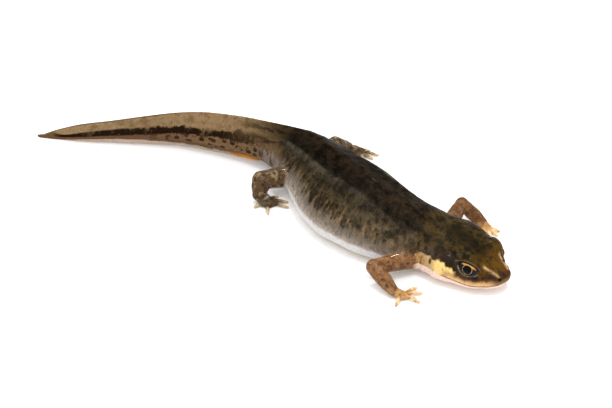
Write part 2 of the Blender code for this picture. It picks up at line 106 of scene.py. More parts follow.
def beside(points: np.ndarray, start: np.ndarray, end: np.ndarray, reach: float = 1.0) -> tuple:
    """Places points against a straight line.

    Args:
        points: Places, one per row.
        start: Where the line begins.
        end: Where it ends.
        reach: How far along it may be followed, in lengths of the line.

    Returns:
        How far along the line each point lies, from 0 to the reach, and its gap to the line.
    """
    way = end - start
    t = np.clip((points - start) @ way / (way @ way), 0, reach)
    return t, np.linalg.norm(points - start - t[:, None] * way, axis=1)


def wander(points: np.ndarray, scale: float, seed: int) -> np.ndarray:
    """Smooth unevenness in space, between about -1 and 1.

    Args:
        points: Places in millimetres, one per row.
        scale: Typical size of a swelling in millimetres.
        seed: Seed of its waves.

    Returns:
        One value per place.
    """
    rng = np.random.default_rng(seed)
    total = np.zeros(len(points))
    waves = 14
    for _ in range(waves):
        way = rng.normal(size=3)
        way *= 2 * math.pi / (scale * rng.uniform(0.8, 1.6) * 2 * np.linalg.norm(way))
        total += np.sin(points @ way + rng.uniform(0, 2 * math.pi))
    return total / math.sqrt(waves / 2) * 0.5


@dataclass(frozen=True)
class Backbone:
    """The line of the spine in plan and the cross-sections along it."""

    plan: tuple = (
        (33.45, -5.3),
        (29.05, -4.25),
        (25.1, -3.20),
        (22.4, -2.9),
        (20.1, -2.8),
        (16.2, -3.0),
        (12.0, -2.6),
        (8.85, -1.85),
        (5.4, -0.6),
        (1.7, 1.4),
        (-2.3, 3.95),
        (-5.9, 5.55),
        (-9.5, 6.25),
        (-12.6, 6.2),
        (-16.1, 5.75),
        (-20.0, 5.1),
        (-24.0, 4.2),
        (-28.3, 2.55),
        (-33.0, 0.5),
        (-37.6, -1.4),
        (-41.2, -2.7),
        (-44.6, -3.7),
    )
    names: tuple = ("half_width", "top", "under", "side", "crest", "lean", "square")
    sections: tuple = (
        (0.0, 0.0, 2.05, 1.75, 1.90, 0.0, 4, 2.2),
        (0.25, 0.95, 2.75, 1.30, 1.90, 0.0, 4, 2.2),
        (0.8, 1.88, 3.20, 1.05, 1.85, 0.0, 4, 2.2),
        (2.0, 2.95, 3.88, 0.82, 1.80, 0.0, 4, 2.3),
        (3.4, 3.80, 4.60, 0.62, 1.70, 0.0, 4, 2.5),
        (5.0, 4.32, 5.20, 0.52, 1.65, 0.0, 4, 2.6),
        (7.0, 5.02, 5.60, 0.42, 1.65, 0.0, 4, 2.7),
        (9.0, 5.32, 5.85, 0.36, 1.70, 0.0, 4, 2.6),
        (11.0, 5.00, 6.10, 0.28, 1.95, 0.05, 4, 2.4),
        (13.3, 5.05, 6.60, 0.22, 2.20, 0.05, 5, 2.2),
        (17.3, 5.85, 7.60, 0.00, 2.75, 0.15, 7, 1.95),
        (21.5, 6.55, 8.70, -0.15, 3.10, 0.20, 9, 1.85),
        (26.0, 6.75, 9.15, -0.25, 3.20, 0.25, 11, 1.85),
        (30.0, 6.15, 9.15, -0.25, 3.20, 0.25, 11, 1.85),
        (34.0, 5.00, 9.05, -0.15, 3.20, 0.30, 10, 1.85),
        (38.0, 3.95, 8.55, 0.05, 3.20, 0.35, 8, 1.9),
        (41.5, 3.05, 7.75, 0.25, 3.40, 0.50, 4, 2.0),
        (45.0, 2.25, 6.60, 0.55, 3.40, 1.15, 1, 2.0),
        (50.0, 1.75, 5.50, 1.05, 3.25, 1.95, 0, 2.0),
        (55.6, 1.45, 4.75, 1.20, 2.95, 2.20, 0, 2.0),
        (60.0, 1.25, 4.10, 1.12, 2.60, 2.00, 0, 2.0),
        (65.0, 1.05, 3.35, 1.00, 2.15, 1.72, 0, 2.0),
        (70.0, 0.85, 2.60, 0.78, 1.70, 1.45, 0, 2.0),
        (75.0, 0.60, 1.70, 0.42, 1.05, 1.35, 0, 2.0),
        (78.0, 0.36, 1.05, 0.10, 0.57, 0.98, 0, 2.0),
        (79.3, 0.27, 1.18, 0.00, 0.55, 0.30, 0, 2.0),
        (80.2, 0.24, 0.98, 0.00, 0.46, 0.0, 0, 2.0),
        (81.0, 0.20, 0.52, 0.00, 0.26, 0.0, 0, 2.0),
        (82.5, 0.16, 0.32, 0.00, 0.16, 0.0, 0, 2.0),
    )
    keel_start: float = 46.5
    overhang: float = 0.25
    blunt_length: float = 2.2
    belly_square: float = 2.3
    tail_roundness: float = 0.3
    tail_span: tuple = (40, 45)
    ridge_span: tuple = (12, 15)
    fin_span: tuple = (38, 45)
    fin_half: float = 0.27
    fin_fullness: float = 0.75
    fin_thinning: float = 0.13
    keel_thinning: float = 0.10
    least_half: float = 0.015
    step: float = 0.05

    @property
    def keys(self) -> np.ndarray:
        """Stations of the points of the plan."""
        steps = np.linalg.norm(np.diff(np.array(self.plan), axis=0), axis=1)
        return np.concatenate([[0], np.cumsum(steps)])

    def field(self, name: str, at: np.ndarray) -> np.ndarray:
        """Value of a named section field at stations."""
        column = 1 + self.names.index(name)
        return smooth([row[0] for row in self.sections], [row[column] for row in self.sections], at)

    def centre(self, at: np.ndarray) -> np.ndarray:
        """Points of the spine in plan, one row per station."""
        keys, plan = self.keys, np.array(self.plan)
        return np.stack([smooth(keys, plan[:, i], at, False) for i in (0, 1)], -1)

    def forward(self, at: np.ndarray) -> np.ndarray:
        """Unit directions towards the head in plan, one row per station."""
        at = np.asarray(at, float)
        ahead, behind = np.maximum(at - self.step, 0), np.minimum(at + self.step, self.keys[-1])
        way = self.centre(ahead) - self.centre(behind)
        return way / np.linalg.norm(way, axis=-1, keepdims=True)

    def place(self, at: np.ndarray, right: np.ndarray, height: np.ndarray, ahead: float = 0) -> np.ndarray:
        """World points of offsets from the spine.

        Args:
            at: Stations.
            right: Offsets to the animal's right.
            height: Heights above the floor.
            ahead: Offsets towards the snout.

        Returns:
            One point in millimetres per row.
        """
        at, right, height = np.broadcast_arrays(*(np.asarray(v, float) for v in (at, right, height)))
        way = self.forward(at)
        across = np.stack([way[..., 1], -way[..., 0]], -1)
        sheared = right - height * np.tan(np.radians(self.field("lean", at)))
        plan = self.centre(at) + way * np.asarray(ahead)[..., None] + across * sheared[..., None]
        return np.concatenate([plan, np.maximum(height, 0)[..., None]], -1)

    def locate(self, points: np.ndarray) -> tuple:
        """Finds where points lie along and across the body.

        Args:
            points: Places in millimetres, one per row.

        Returns:
            Stations, and offsets to the right with the lean taken out.
        """
        fine = np.linspace(0, self.keys[-1], 1101)
        line = self.centre(fine)
        nearest = np.empty(len(points), int)
        chunk = 20000
        for first in range(0, len(points), chunk):
            some = points[first : first + chunk, :2]
            gaps = (some[:, None, 0] - line[None, :, 0]) ** 2 + (some[:, None, 1] - line[None, :, 1]) ** 2
            nearest[first : first + chunk] = gaps.argmin(1)
        at = fine[nearest]
        way = self.forward(at)
        offset = points[:, :2] - line[nearest]
        along = (offset * way).sum(1)
        at = np.clip(at - along, 0, self.keys[-1])
        right = offset[:, 0] * way[:, 1] - offset[:, 1] * way[:, 0]
        return at, right + points[:, 2] * np.tan(np.radians(self.field("lean", at)))

    def profile(self, at: float) -> np.ndarray:
        """Right half of the outline at one station, from the ridge down to the floor side.

        Args:
            at: The station.

        Returns:
            Rows of offset to the right and height.
        """
        value = {name: float(self.field(name, at)) for name in self.names}
        top, side, under, crest = (value[name] for name in ("top", "side", "under", "crest"))
        keel = float(ramp(at, self.keel_start - 1.5, self.keel_start + 1))
        low = under * (1 - keel)
        skip = 0.02
        quarter = np.linspace(0, math.pi / 2, 15)
        heights = np.concatenate(
            [
                np.linspace(top + crest, top + skip, 6),
                side + (top - side) * np.cos(quarter),
                side - (side - under) * np.sin(quarter[1:]),
                np.linspace(under - skip, min(low, under - 1.5 * skip), 5),
            ]
        )
        upper = heights > side
        reach = np.where(upper, top - side, side - under)
        tail = float(ramp(at, *self.tail_span))
        belly = self.belly_square - self.tail_roundness * tail
        power = np.where(upper, value["square"], belly)
        share = np.clip(np.abs(heights - side) / np.maximum(reach, THIN), 0, 1)
        muscle = value["half_width"] * (1 - share**power) ** (1 / power)
        over = np.clip((heights - top) / max(crest, 0.1), 0, 1)
        beneath = np.clip((under - heights) / max(under, 0.1), 0, 1) * keel
        soft = self.fin_fullness * (1 - float(ramp(at, *self.fin_span)))
        fin = self.fin_half + soft * (1 - over) - self.fin_thinning * over
        vane = fin * upper * float(ramp(at, *self.ridge_span))
        vane = vane + (self.fin_half - self.keel_thinning * beneath) * (heights <= side) * keel
        vane = np.minimum(vane, value["half_width"])
        right = (muscle**4 + vane**4) ** 0.25
        return np.stack([np.maximum(right, self.least_half), heights], -1)


SPINE = Backbone()


@dataclass(frozen=True)
class Shell:
    """Closed raw form that goes into the skin: points in millimetres and faces."""

    points: np.ndarray
    faces: list

    @staticmethod
    def loft(rings: np.ndarray, start: np.ndarray, end: np.ndarray) -> "Shell":
        """Skin through rings of equal count, closed by a point at each end.

        Args:
            rings: Points of every ring, in order.
            start: Point before the first ring.
            end: Point after the last one.

        Returns:
            The closed form.
        """
        count, sides = rings.shape[:2]
        points = np.concatenate([rings.reshape(-1, 3), [start], [end]])
        faces = []
        for i in range(count - 1):
            for k in range(sides):
                a, b = i * sides + k, i * sides + (k + 1) % sides
                faces.append((a, b, b + sides, a + sides))
        for k in range(sides):
            following = (k + 1) % sides
            faces.append((following, k, count * sides))
            faces.append(((count - 1) * sides + k, (count - 1) * sides + following, count * sides + 1))
        return Shell(points, faces)

    @staticmethod
    def ball(centre: Sequence, radii: Sequence, turn: float = 0.0) -> "Shell":
        """Closed ellipsoid.

        Args:
            centre: Its centre.
            radii: Its three radii.
            turn: Angle about the vertical, in radians.

        Returns:
            The closed form.
        """
        rows, columns = 14, 22
        polar = np.linspace(0, math.pi, rows + 1)[1:-1]
        around = np.linspace(0, 2 * math.pi, columns, endpoint=False)
        x = np.sin(polar)[:, None] * np.cos(around) * radii[0]
        y = np.sin(polar)[:, None] * np.sin(around) * radii[1]
        z = np.cos(polar)[:, None] * np.ones(columns) * radii[2]
        c, s = math.cos(turn), math.sin(turn)
        rings = np.stack([x * c - y * s, x * s + y * c, z], -1) + np.asarray(centre)
        pole = np.array((0, 0, radii[2]))
        return Shell.loft(rings, centre + pole, centre - pole)

    @staticmethod
    def web(points: Iterable, low: float, high: float) -> "Shell":
        """Thin closed flap.

        Args:
            points: Corners in the plan.
            low: Height of its underside.
            high: Height of its upper side.

        Returns:
            The closed form.
        """
        bm = bmesh.new()
        for x, y in points:
            for z in (low, high):
                bm.verts.new((x, y, z))
        bmesh.ops.convex_hull(bm, input=bm.verts)
        bm.verts.index_update()
        corners = np.array([vertex.co[:] for vertex in bm.verts])
        shell = Shell(corners, [tuple(vertex.index for vertex in face.verts) for face in bm.faces])
        bm.free()
        return shell


def mesh_of(name: str, shells: Sequence[Shell]) -> bpy.types.Object:
    """Makes one object in metres from raw forms.

    Args:
        name: Name of the object.
        shells: Its forms.

    Returns:
        The linked object.
    """
    points, faces, first = [], [], 0
    for shell in shells:
        points.append((shell.points - PLAN_CENTRE) * MM)
        faces += [tuple(index + first for index in face) for face in shell.faces]
        first += len(shell.points)
    mesh = bpy.data.meshes.new(name)
    mesh.from_pydata(np.concatenate(points).tolist(), [], faces)
    piece = bpy.data.objects.new(name, mesh)
    bpy.context.scene.collection.objects.link(piece)
    return piece


def note_layer(mesh: bpy.types.Mesh, name: str, values: np.ndarray) -> None:
    """Writes one number for each point of a mesh under a name."""
    layer = mesh.attributes.new(name, "FLOAT", "POINT")
    layer.data.foreach_set("value", np.asarray(values, np.float32))


def applied(piece: bpy.types.Object) -> None:
    """Turns a piece's modifiers into its mesh."""
    graph = bpy.context.evaluated_depsgraph_get()
    mesh = bpy.data.meshes.new_from_object(piece.evaluated_get(graph))
    piece.modifiers.clear()
    piece.data = mesh


@dataclass
class SweptTubes:
    """Round tubes that follow paths, swept by one node tree."""

    sides: int = 18

    def tree(self) -> bpy.types.NodeTree:
        """Builds the tree: each path becomes a closed tube as thick as its girth says."""
        group = bpy.data.node_groups.get("swept_tubes")
        if group:
            return group
        group = bpy.data.node_groups.new("swept_tubes", "GeometryNodeTree")
        face = group.interface
        face.new_socket("Paths", in_out="INPUT", socket_type="NodeSocketGeometry")
        face.new_socket("Sides", in_out="INPUT", socket_type="NodeSocketInt")
        face.new_socket("Fullness", in_out="INPUT", socket_type="NodeSocketFloat")
        face.new_socket("Skin", in_out="INPUT", socket_type="NodeSocketMaterial")
        face.new_socket("Tubes", in_out="OUTPUT", socket_type="NodeSocketGeometry")
        node = {
            key: group.nodes.new(kind)
            for key, kind in (
                ("in", "NodeGroupInput"),
                ("curve", "GeometryNodeMeshToCurve"),
                ("girth", "GeometryNodeInputNamedAttribute"),
                ("full", "ShaderNodeMath"),
                ("circle", "GeometryNodeCurvePrimitiveCircle"),
                ("sweep", "GeometryNodeCurveToMesh"),
                ("real", "GeometryNodeRealizeInstances"),
                ("dress", "GeometryNodeSetMaterial"),
                ("out", "NodeGroupOutput"),
            )
        }
        node["girth"].data_type = "FLOAT"
        node["girth"].inputs["Name"].default_value = "girth"
        node["full"].operation = "MULTIPLY"
        node["circle"].inputs["Radius"].default_value = 1.0
        node["sweep"].inputs["Fill Caps"].default_value = True
        join = group.links.new
        join(node["in"].outputs["Paths"], node["curve"].inputs["Mesh"])
        join(node["girth"].outputs["Attribute"], node["full"].inputs[0])
        join(node["in"].outputs["Fullness"], node["full"].inputs[1])
        join(node["in"].outputs["Sides"], node["circle"].inputs["Resolution"])
        join(node["curve"].outputs["Curve"], node["sweep"].inputs["Curve"])
        join(node["circle"].outputs["Curve"], node["sweep"].inputs["Profile Curve"])
        join(node["full"].outputs[0], node["sweep"].inputs["Scale"])
        join(node["sweep"].outputs["Mesh"], node["real"].inputs["Geometry"])
        join(node["real"].outputs["Geometry"], node["dress"].inputs["Geometry"])
        join(node["in"].outputs["Skin"], node["dress"].inputs["Material"])
        join(node["dress"].outputs["Geometry"], node["out"].inputs["Tubes"])
        return group

    def build(self, name: str, paths: Sequence, skin: bpy.types.Material) -> bpy.types.Object:
        """Sweeps tubes.

        Args:
            name: Name of the object.
            paths: Pairs of points in millimetres and a radius for each point.
            skin: Material of the tubes.

        Returns:
            The object, with its tubes as a plain mesh.
        """
        points, edges, girths = [], [], []
        for path, radii in paths:
            first = len(points)
            points += [tuple((np.asarray(point) - PLAN_CENTRE) * MM) for point in path]
            edges += [(first + i, first + i + 1) for i in range(len(path) - 1)]
            girths += [radius * MM for radius in radii]
        mesh = bpy.data.meshes.new(name)
        mesh.from_pydata(points, edges, [])
        mesh.attributes.new("girth", "FLOAT", "POINT").data.foreach_set("value", girths)
        piece = bpy.data.objects.new(name, mesh)
        bpy.context.scene.collection.objects.link(piece)
        sweep = piece.modifiers.new("sweep", "NODES")
        sweep.node_group = self.tree()
        inputs = {item.name: item.identifier for item in sweep.node_group.interface.items_tree}
        for label, value in (("Sides", self.sides), ("Fullness", 1.0), ("Skin", skin)):
            sweep[inputs[label]] = value
        applied(piece)
        return piece


@dataclass(frozen=True)
class Limb:
    """One leg: joints from root to ankle, radii along it, palm and the ends of its digits."""

    name: str
    joints: tuple
    radii: tuple
    palm: tuple
    palm_width: float
    digits: tuple
    webbed: bool
    digit_height: float = 0.24
    digit_radii: tuple = (
        (0.0, 0.42),
        (0.25, 0.31),
        (0.50, 0.26),
        (0.62, 0.29),
        (0.80, 0.23),
        (0.95, 0.17),
        (1.0, 0.08),
    )
    knuckle_rise: float = 0.2
    knuckle_at: float = 0.55
    knuckle_length: float = 0.22
    palm_half: float = 0.52
    wrist_half: float = 0.60
    web_reach: float = 0.34
    web_side: float = 0.5
    web_heights: tuple = (0.1, 0.3)

    def bones(self) -> tuple:
        """Points down the middle of the leg with radii, rounded at the bend."""
        root, bend, ankle = (np.array(joint) for joint in self.joints)
        points, radii = [], []
        for t in np.linspace(0, 1, 25):
            if t < 0.5:
                point, radius = root + (bend - root) * t * 2, smooth((0, 0.5, 1), self.radii[:3], t * 2)
            else:
                point = bend + (ankle - bend) * (t * 2 - 1)
                radius = smooth((0, 0.5, 1), self.radii[2:], t * 2 - 1)
            points.append(point)
            radii.append(float(radius))
        points = np.array(points)
        eased = points.copy()
        eased[1:-1] = (points[:-2] + 2 * points[1:-1] + points[2:]) / 4
        return eased, np.array(radii)

    def digit_paths(self) -> list:
        """Paths and radii of the digits, each with a raised knuckle and a rounded end."""
        palm = np.array(self.palm)
        paths = []
        for x, y in self.digits:
            tip = np.array((x, y, self.digit_height))
            shares = np.linspace(0.1, 1, 12)
            line = palm + (tip - palm) * shares[:, None]
            knuckle = self.knuckle_rise * bump(shares, self.knuckle_at, self.knuckle_length)
            line[:, 2] = palm[2] + (self.digit_height - palm[2]) * shares + knuckle
            paths.append((line, smooth(*zip(*self.digit_radii), shares)))
        return paths

    def shells(self) -> list:
        """Raw round forms at the bend, ankle and palm, and the flaps between webbed digits."""
        bend, ankle = (np.array(joint) for joint in self.joints[1:])
        palm = np.array(self.palm)
        away = palm - ankle
        turn = math.atan2(away[1], away[0])
        width = self.palm_width
        parts = [
            Shell.ball(bend, (self.radii[2] * 1.04,) * 3),
            Shell.ball(ankle, (self.radii[4] * 1.02,) * 3),
            Shell.ball(palm, (width * 1.05, width * 0.95, self.palm_half), turn),
            Shell.ball((palm + ankle) / 2, (width * 0.95, width * 0.8, self.wrist_half), turn),
        ]
        if self.webbed:
            for one, other in zip(self.digits, self.digits[1:]):
                one, other, base = np.array(one), np.array(other), palm[:2]
                middle = base + ((one + other) / 2 - base) * self.web_reach
                sides = (base + (end - base) * self.web_side for end in (one, other))
                parts.append(Shell.web((base, next(sides), middle, next(sides)), *self.web_heights))
        return parts


LIMBS = (
    Limb(
        "foreleg_right",
        ((20.9, -5.6, 2.1), (16.35, -11.4, 2.65), (19.98, -12.9, 0.98)),
        (1.85, 1.35, 1.08, 1.12, 0.82),
        (21.2, -12.6, 0.42),
        0.95,
        ((21.3, -15.0), (24.1, -12.7), (23.6, -10.7), (22.4, -10.0)),
        False,
    ),
    Limb(
        "foreleg_left",
        ((21.9, 0.9, 2.9), (21.7, 7.0, 2.8), (25.2, 6.6, 0.95)),
        (1.30, 1.15, 0.98, 1.02, 0.72),
        (25.9, 6.3, 0.42),
        0.95,
        ((28.0, 6.7), (28.1, 5.6), (27.4, 4.7), (26.2, 4.3)),
        False,
    ),
    Limb(
        "hindleg_right",
        ((-2.4, 2.6, 2.9), (-6.5, -1.65, 3.25), (-6.38, -2.6, 1.35)),
        (1.80, 1.62, 1.36, 1.32, 1.00),
        (-5.2, -2.6, 0.48),
        1.30,
        ((-6.3, -4.5), (-3.6, -5.0), (-1.7, -2.2), (-2.4, -1.0), (-4.3, -0.6)),
        True,
    ),
    Limb(
        "hindleg_left",
        ((-1.9, 5.4, 3.1), (-0.8, 11.4, 3.2), (0.1, 13.9, 1.3)),
        (1.70, 1.50, 1.22, 1.05, 0.82),
        (1.2, 14.5, 0.48),
        1.30,
        ((1.1, 15.7), (2.9, 15.9), (4.6, 15.5), (4.3, 14.2), (3.2, 13.3)),
        True,
    ),
)


@dataclass(frozen=True)
class Socket:
    """Where an eye sits, which way it looks and how far its lids open."""

    side: Side
    at: float = 4.50
    out: float = 2.38
    height: float = 3.46
    radius: float = 1.72
    lid: float = 0.22
    turn: float = 20.0
    lift: float = 26.0
    tilt: float = -4.0
    opening: tuple = (1.54, 0.78)

    @property
    def outside(self) -> float:
        """Distance from the centre to the outside of the lids."""
        return self.radius + self.lid

    def axes(self) -> tuple:
        """Centre, and the outward, forward and upward directions of the eye."""
        centre = SPINE.place(self.at, self.side.value * self.out, self.height)
        ahead = np.append(SPINE.forward(self.at), 0)
        right = np.array((ahead[1], -ahead[0], 0)) * self.side.value
        turn, lift = math.radians(self.turn), math.radians(self.lift)
        out = (right * math.cos(turn) + ahead * math.sin(turn)) * math.cos(lift)
        out = out + np.array((0, 0, math.sin(lift)))
        along = ahead - out * (ahead @ out)
        along /= np.linalg.norm(along)
        up = np.cross(out, along)
        up = up if up[2] > 0 else -up
        tilt = math.radians(self.tilt)
        level = along * math.cos(tilt) + up * math.sin(tilt)
        return centre, out, level, up * math.cos(tilt) - along * math.sin(tilt)

    def view(self, points: np.ndarray) -> tuple:
        """Sees points from the eye.

        Args:
            points: Places in millimetres, one per row.

        Returns:
            Distances from the centre, millimetres along and up the eyeball from the middle of
            the opening, and how far each point faces outwards, from -1 to 1.
        """
        centre, out, along, up = self.axes()
        offset = points - centre
        reach = np.linalg.norm(offset, axis=1)
        unit = offset / np.maximum(reach, TINY)[:, None]
        facing = unit @ out
        cosine = np.clip(facing, -1, 1)
        bend = np.arccos(cosine) / np.maximum(np.sqrt(1 - cosine**2), TINY)
        return reach, unit @ along * bend * self.radius, unit @ up * bend * self.radius, facing

    def rim(self, points: np.ndarray) -> np.ndarray:
        """Millimetres outside the edge of the lids, negative within the opening."""
        _, across, above, facing = self.view(points)
        long, tall = self.opening
        size = np.sqrt((across / long) ** 2 + (above / tall) ** 2)
        return np.where(facing > 0, (size - 1) * (long + tall) / 2, FAR)


SOCKETS = (Socket(Side.RIGHT), Socket(Side.LEFT))


@dataclass(frozen=True)
class Relief:
    """A rounded ridge across some measure of the skin, or a groove where its height is negative."""

    height: float
    middle: float
    width: float

    def at(self, x: np.ndarray) -> np.ndarray:
        """How far it lifts the skin in millimetres."""
        return self.height * bump(x, self.middle, self.width)


@dataclass
class Sculpture:
    """The raw skin as points that are pushed along their normals to carve its features."""

    mesh: bpy.types.Mesh
    mouth: tuple = ((0.0, 1.90), (1.0, 1.82), (3.0, 1.70), (5.0, 1.80), (7.0, 2.15), (8.5, 2.5))
    mouth_corner: float = 7.6
    mouth_line: Relief = Relief(-0.17, 0.0, 0.085)
    upper_lip: Relief = Relief(0.07, 0.24, 0.16)
    lower_lip: Relief = Relief(-0.05, -0.25, 0.20)
    side_ridge: Relief = Relief(0.13, 0.235, 0.028)
    ridge_groove: Relief = Relief(-0.05, 0.285, 0.03)
    rib_gap: float = 1.72
    rib_depth: float = 0.07
    throat_fold: float = 12.2
    muscle_gap: float = 1.45
    muscle_depth: float = 0.025
    muscle_slant: float = 4.4
    lumps: tuple = ((0.05, 1.7, 3, 0.7), (0.018, 0.55, 5, 1.0))
    nostril: tuple = (0.62, 1.08, 2.66)
    nostril_rim: Relief = Relief(0.07, 0.34, 0.14)
    nostril_hole: Relief = Relief(-0.30, 0.0, 0.17)
    canthus_start: tuple = (3.6, 2.12, 4.52, 0.0)
    canthus_end: tuple = (0.75, 1.10, 3.22, 0.2)
    canthus_ridge: Relief = Relief(0.16, 0.0, 0.36)
    cheek_hollow: Relief = Relief(-0.12, 0.0, 0.7)
    lid_roll: Relief = Relief(0.07, 0.16, 0.14)
    upper_fold: Relief = Relief(-0.09, 0.52, 0.13)
    lower_fold: Relief = Relief(-0.05, 0.45, 0.12)
    ridge: tuple = (
        (0.0, 0.235),
        (12.0, 0.235),
        (17.0, 0.215),
        (20.0, 0.175),
        (24.5, 0.150),
        (28.0, 0.160),
        (31.0, 0.172),
        (35.5, 0.205),
        (40.0, 0.215),
        (46.0, 0.235),
    )
    ridge_level: float = 0.235
    belly_level: float = 0.45

    def read(self) -> None:
        """Takes the points and edges out of the mesh."""
        count = len(self.mesh.vertices)
        flat = np.empty(count * 3)
        self.mesh.vertices.foreach_get("co", flat)
        self.points = flat.reshape(-1, 3) / MM + PLAN_CENTRE
        ends = np.empty(len(self.mesh.edges) * 2, np.int64)
        self.mesh.edges.foreach_get("vertices", ends)
        self.ends = ends.reshape(-1, 2)
        self.links = np.bincount(self.ends.reshape(-1), minlength=count)

    def write(self) -> None:
        """Puts the points back into the mesh."""
        flat = ((self.points - PLAN_CENTRE) * MM).reshape(-1)
        self.mesh.vertices.foreach_set("co", flat)
        self.mesh.update()

    def pull(self) -> np.ndarray:
        """Steps from every point to the middle of its neighbours."""
        middle = np.empty_like(self.points)
        for axis in range(3):
            column = self.points[:, axis]
            sums = np.bincount(self.ends[:, 0], column[self.ends[:, 1]], len(column))
            sums += np.bincount(self.ends[:, 1], column[self.ends[:, 0]], len(column))
            middle[:, axis] = sums / np.maximum(self.links, 1)
        return middle - self.points

    def relax(self, rounds: int, share: np.ndarray) -> None:
        """Evens the points out and swells them back, so that thin forms keep their size.

        Args:
            rounds: How often.
            share: How strongly each point moves, from 0 to 1.
        """
        for _ in range(rounds):
            for factor in (0.55, -0.57):
                self.points += self.pull() * (factor * share)[:, None]

    def blend(self, rounds: int, share: np.ndarray) -> None:
        """Softens the meeting of two forms, which fills the crease between them."""
        for _ in range(rounds):
            self.points += self.pull() * (0.6 * share)[:, None]

    def normals(self) -> np.ndarray:
        """Outward unit normals of the points."""
        self.write()
        flat = np.empty(len(self.points) * 3, np.float32)
        self.mesh.vertex_normals.foreach_get("vector", flat)
        return flat.reshape(-1, 3).astype(float)

    def measure(self) -> None:
        """Works out where every point lies on the body."""
        self.at, self.right = SPINE.locate(self.points)
        height = self.points[:, 2]
        names = ("top", "side", "under", "half_width", "crest")
        top, side, under, width, crest = (SPINE.field(name, self.at) for name in names)
        reach = np.where(height > side, top - side, side - under)
        self.up = (height - side) / np.maximum(reach, THIN)
        out = self.right / np.maximum(width, THIN)
        self.level = np.arctan2(np.abs(out), np.clip(self.up, -1.5, 1.5)) / math.pi
        self.size = np.sqrt(out**2 + np.clip(self.up, -9, 9) ** 2)
        ridge = smooth(*zip(*self.ridge), np.clip(self.at, 0, self.ridge[-1][0]))
        share = (self.level - ridge) * (self.belly_level - self.ridge_level) / (self.belly_level - ridge)
        over = np.maximum(share + self.ridge_level, self.level)
        self.band = np.where(self.level < ridge, self.level * self.ridge_level / ridge, over)
        thin = np.abs(self.right) < 0.6
        past = ramp(self.at, 40, 44)
        self.fin = np.clip((height - top) / np.maximum(crest, 0.1), 0, 1) * thin * past
        self.keel = np.clip((under - height) / np.maximum(under, 0.1), 0, 1) * thin * ramp(self.at, 45, 47)
        self.limb, self.digit = np.zeros(len(height)), np.zeros(len(height))
        self.hind = np.zeros(len(height))
        for limb in LIMBS:
            self.measure_limb(limb)

    def measure_limb(self, limb: Limb) -> None:
        """Adds one leg to the shares of limb, digit and hind leg.

        Args:
            limb: The leg.
        """
        root, bend, ankle = (np.array(joint) for joint in limb.joints)
        near = np.full(len(self.points), FAR)
        for start, end, radii in ((root, bend, limb.radii[:3]), (bend, ankle, limb.radii[2:])):
            t, gap = beside(self.points, start, end)
            near = np.minimum(near, gap / smooth((0, 0.5, 1), radii, t))
        palm, plan = np.array(limb.palm[:2]), self.points[:, :2]
        low = ramp(-self.points[:, 2], -1.7, -1.2) * ramp(self.size, 1.02, 1.12)
        around = np.linalg.norm(plan - palm, axis=1)
        hand = ramp(-around, -limb.palm_width - 0.8, -limb.palm_width - 0.2) * low
        tips = np.zeros(len(self.points))
        for tip in limb.digits:
            t, gap = beside(plan, palm, np.array(tip), 1.2)
            on = ramp(-gap, -0.75, -0.5) * low
            hand = np.maximum(hand, on)
            tips = np.maximum(tips, on * ramp(t, 0.1, 1.0))
        outside = ramp(self.size, 0.98, 1.14) * ramp(np.abs(self.right), 1.0, 2.0)
        share = np.maximum(ramp(-near, -1.7, -1.12) * outside, hand)
        self.limb = np.maximum(self.limb, share)
        self.digit = np.maximum(self.digit, 0.2 * hand + 0.8 * tips)
        if limb.webbed:
            self.hind = np.maximum(self.hind, share)

    def carve(self) -> None:
        """Pushes the skin in and out: mouth, ridges, grooves and folds, then snout and lids."""
        push = np.zeros(len(self.points))
        flesh = 1 - self.limb
        self.press_mouth(push, flesh)
        self.press_trunk(push, flesh)
        self.press_neck(push, flesh)
        self.press_tail(push)
        self.points += self.normals() * (push * (1 - self.lids_share()))[:, None]
        self.carve_snout()
        self.carve_lids()
        self.points[:, 2] = np.maximum(self.points[:, 2], 0)

    def mouth_height(self) -> np.ndarray:
        """Height of the mouth line at every point's station."""
        keys, heights = zip(*self.mouth)
        return smooth(keys, heights, np.clip(self.at, 0, keys[-1]))

    def press_mouth(self, push: np.ndarray, flesh: np.ndarray) -> None:
        """Mouth line between two lips, shut to its corners.

        Args:
            push: How far every point moves outwards, to which this adds.
            flesh: Share of every point that is no limb.
        """
        shut = 1 - ramp(self.at, self.mouth_corner - 1.0, self.mouth_corner)
        shut = shut * flesh * (self.level > 0.2)
        off = self.points[:, 2] - self.mouth_height()
        push += self.mouth_line.at(off) * shut
        push += self.upper_lip.at(off) * shut + self.lower_lip.at(off) * shut

    def press_trunk(self, push: np.ndarray, flesh: np.ndarray) -> None:
        """Ridges along the sides with the groove under them, and the grooves between ribs.

        Args:
            push: How far every point moves outwards, to which this adds.
            flesh: Share of every point that is no limb.
        """
        body = flesh * ramp(self.at, 12, 16) * (1 - ramp(self.at, 39, 43))
        push += self.side_ridge.at(self.band) * body
        push += self.ridge_groove.at(self.band) * body
        ribs = np.maximum(np.cos(2 * math.pi * self.at / self.rib_gap), 0) ** 8
        flank = ramp(self.level, 0.26, 0.36) * (1 - ramp(self.level, 0.55, 0.68))
        push -= self.rib_depth * ribs * flank * body

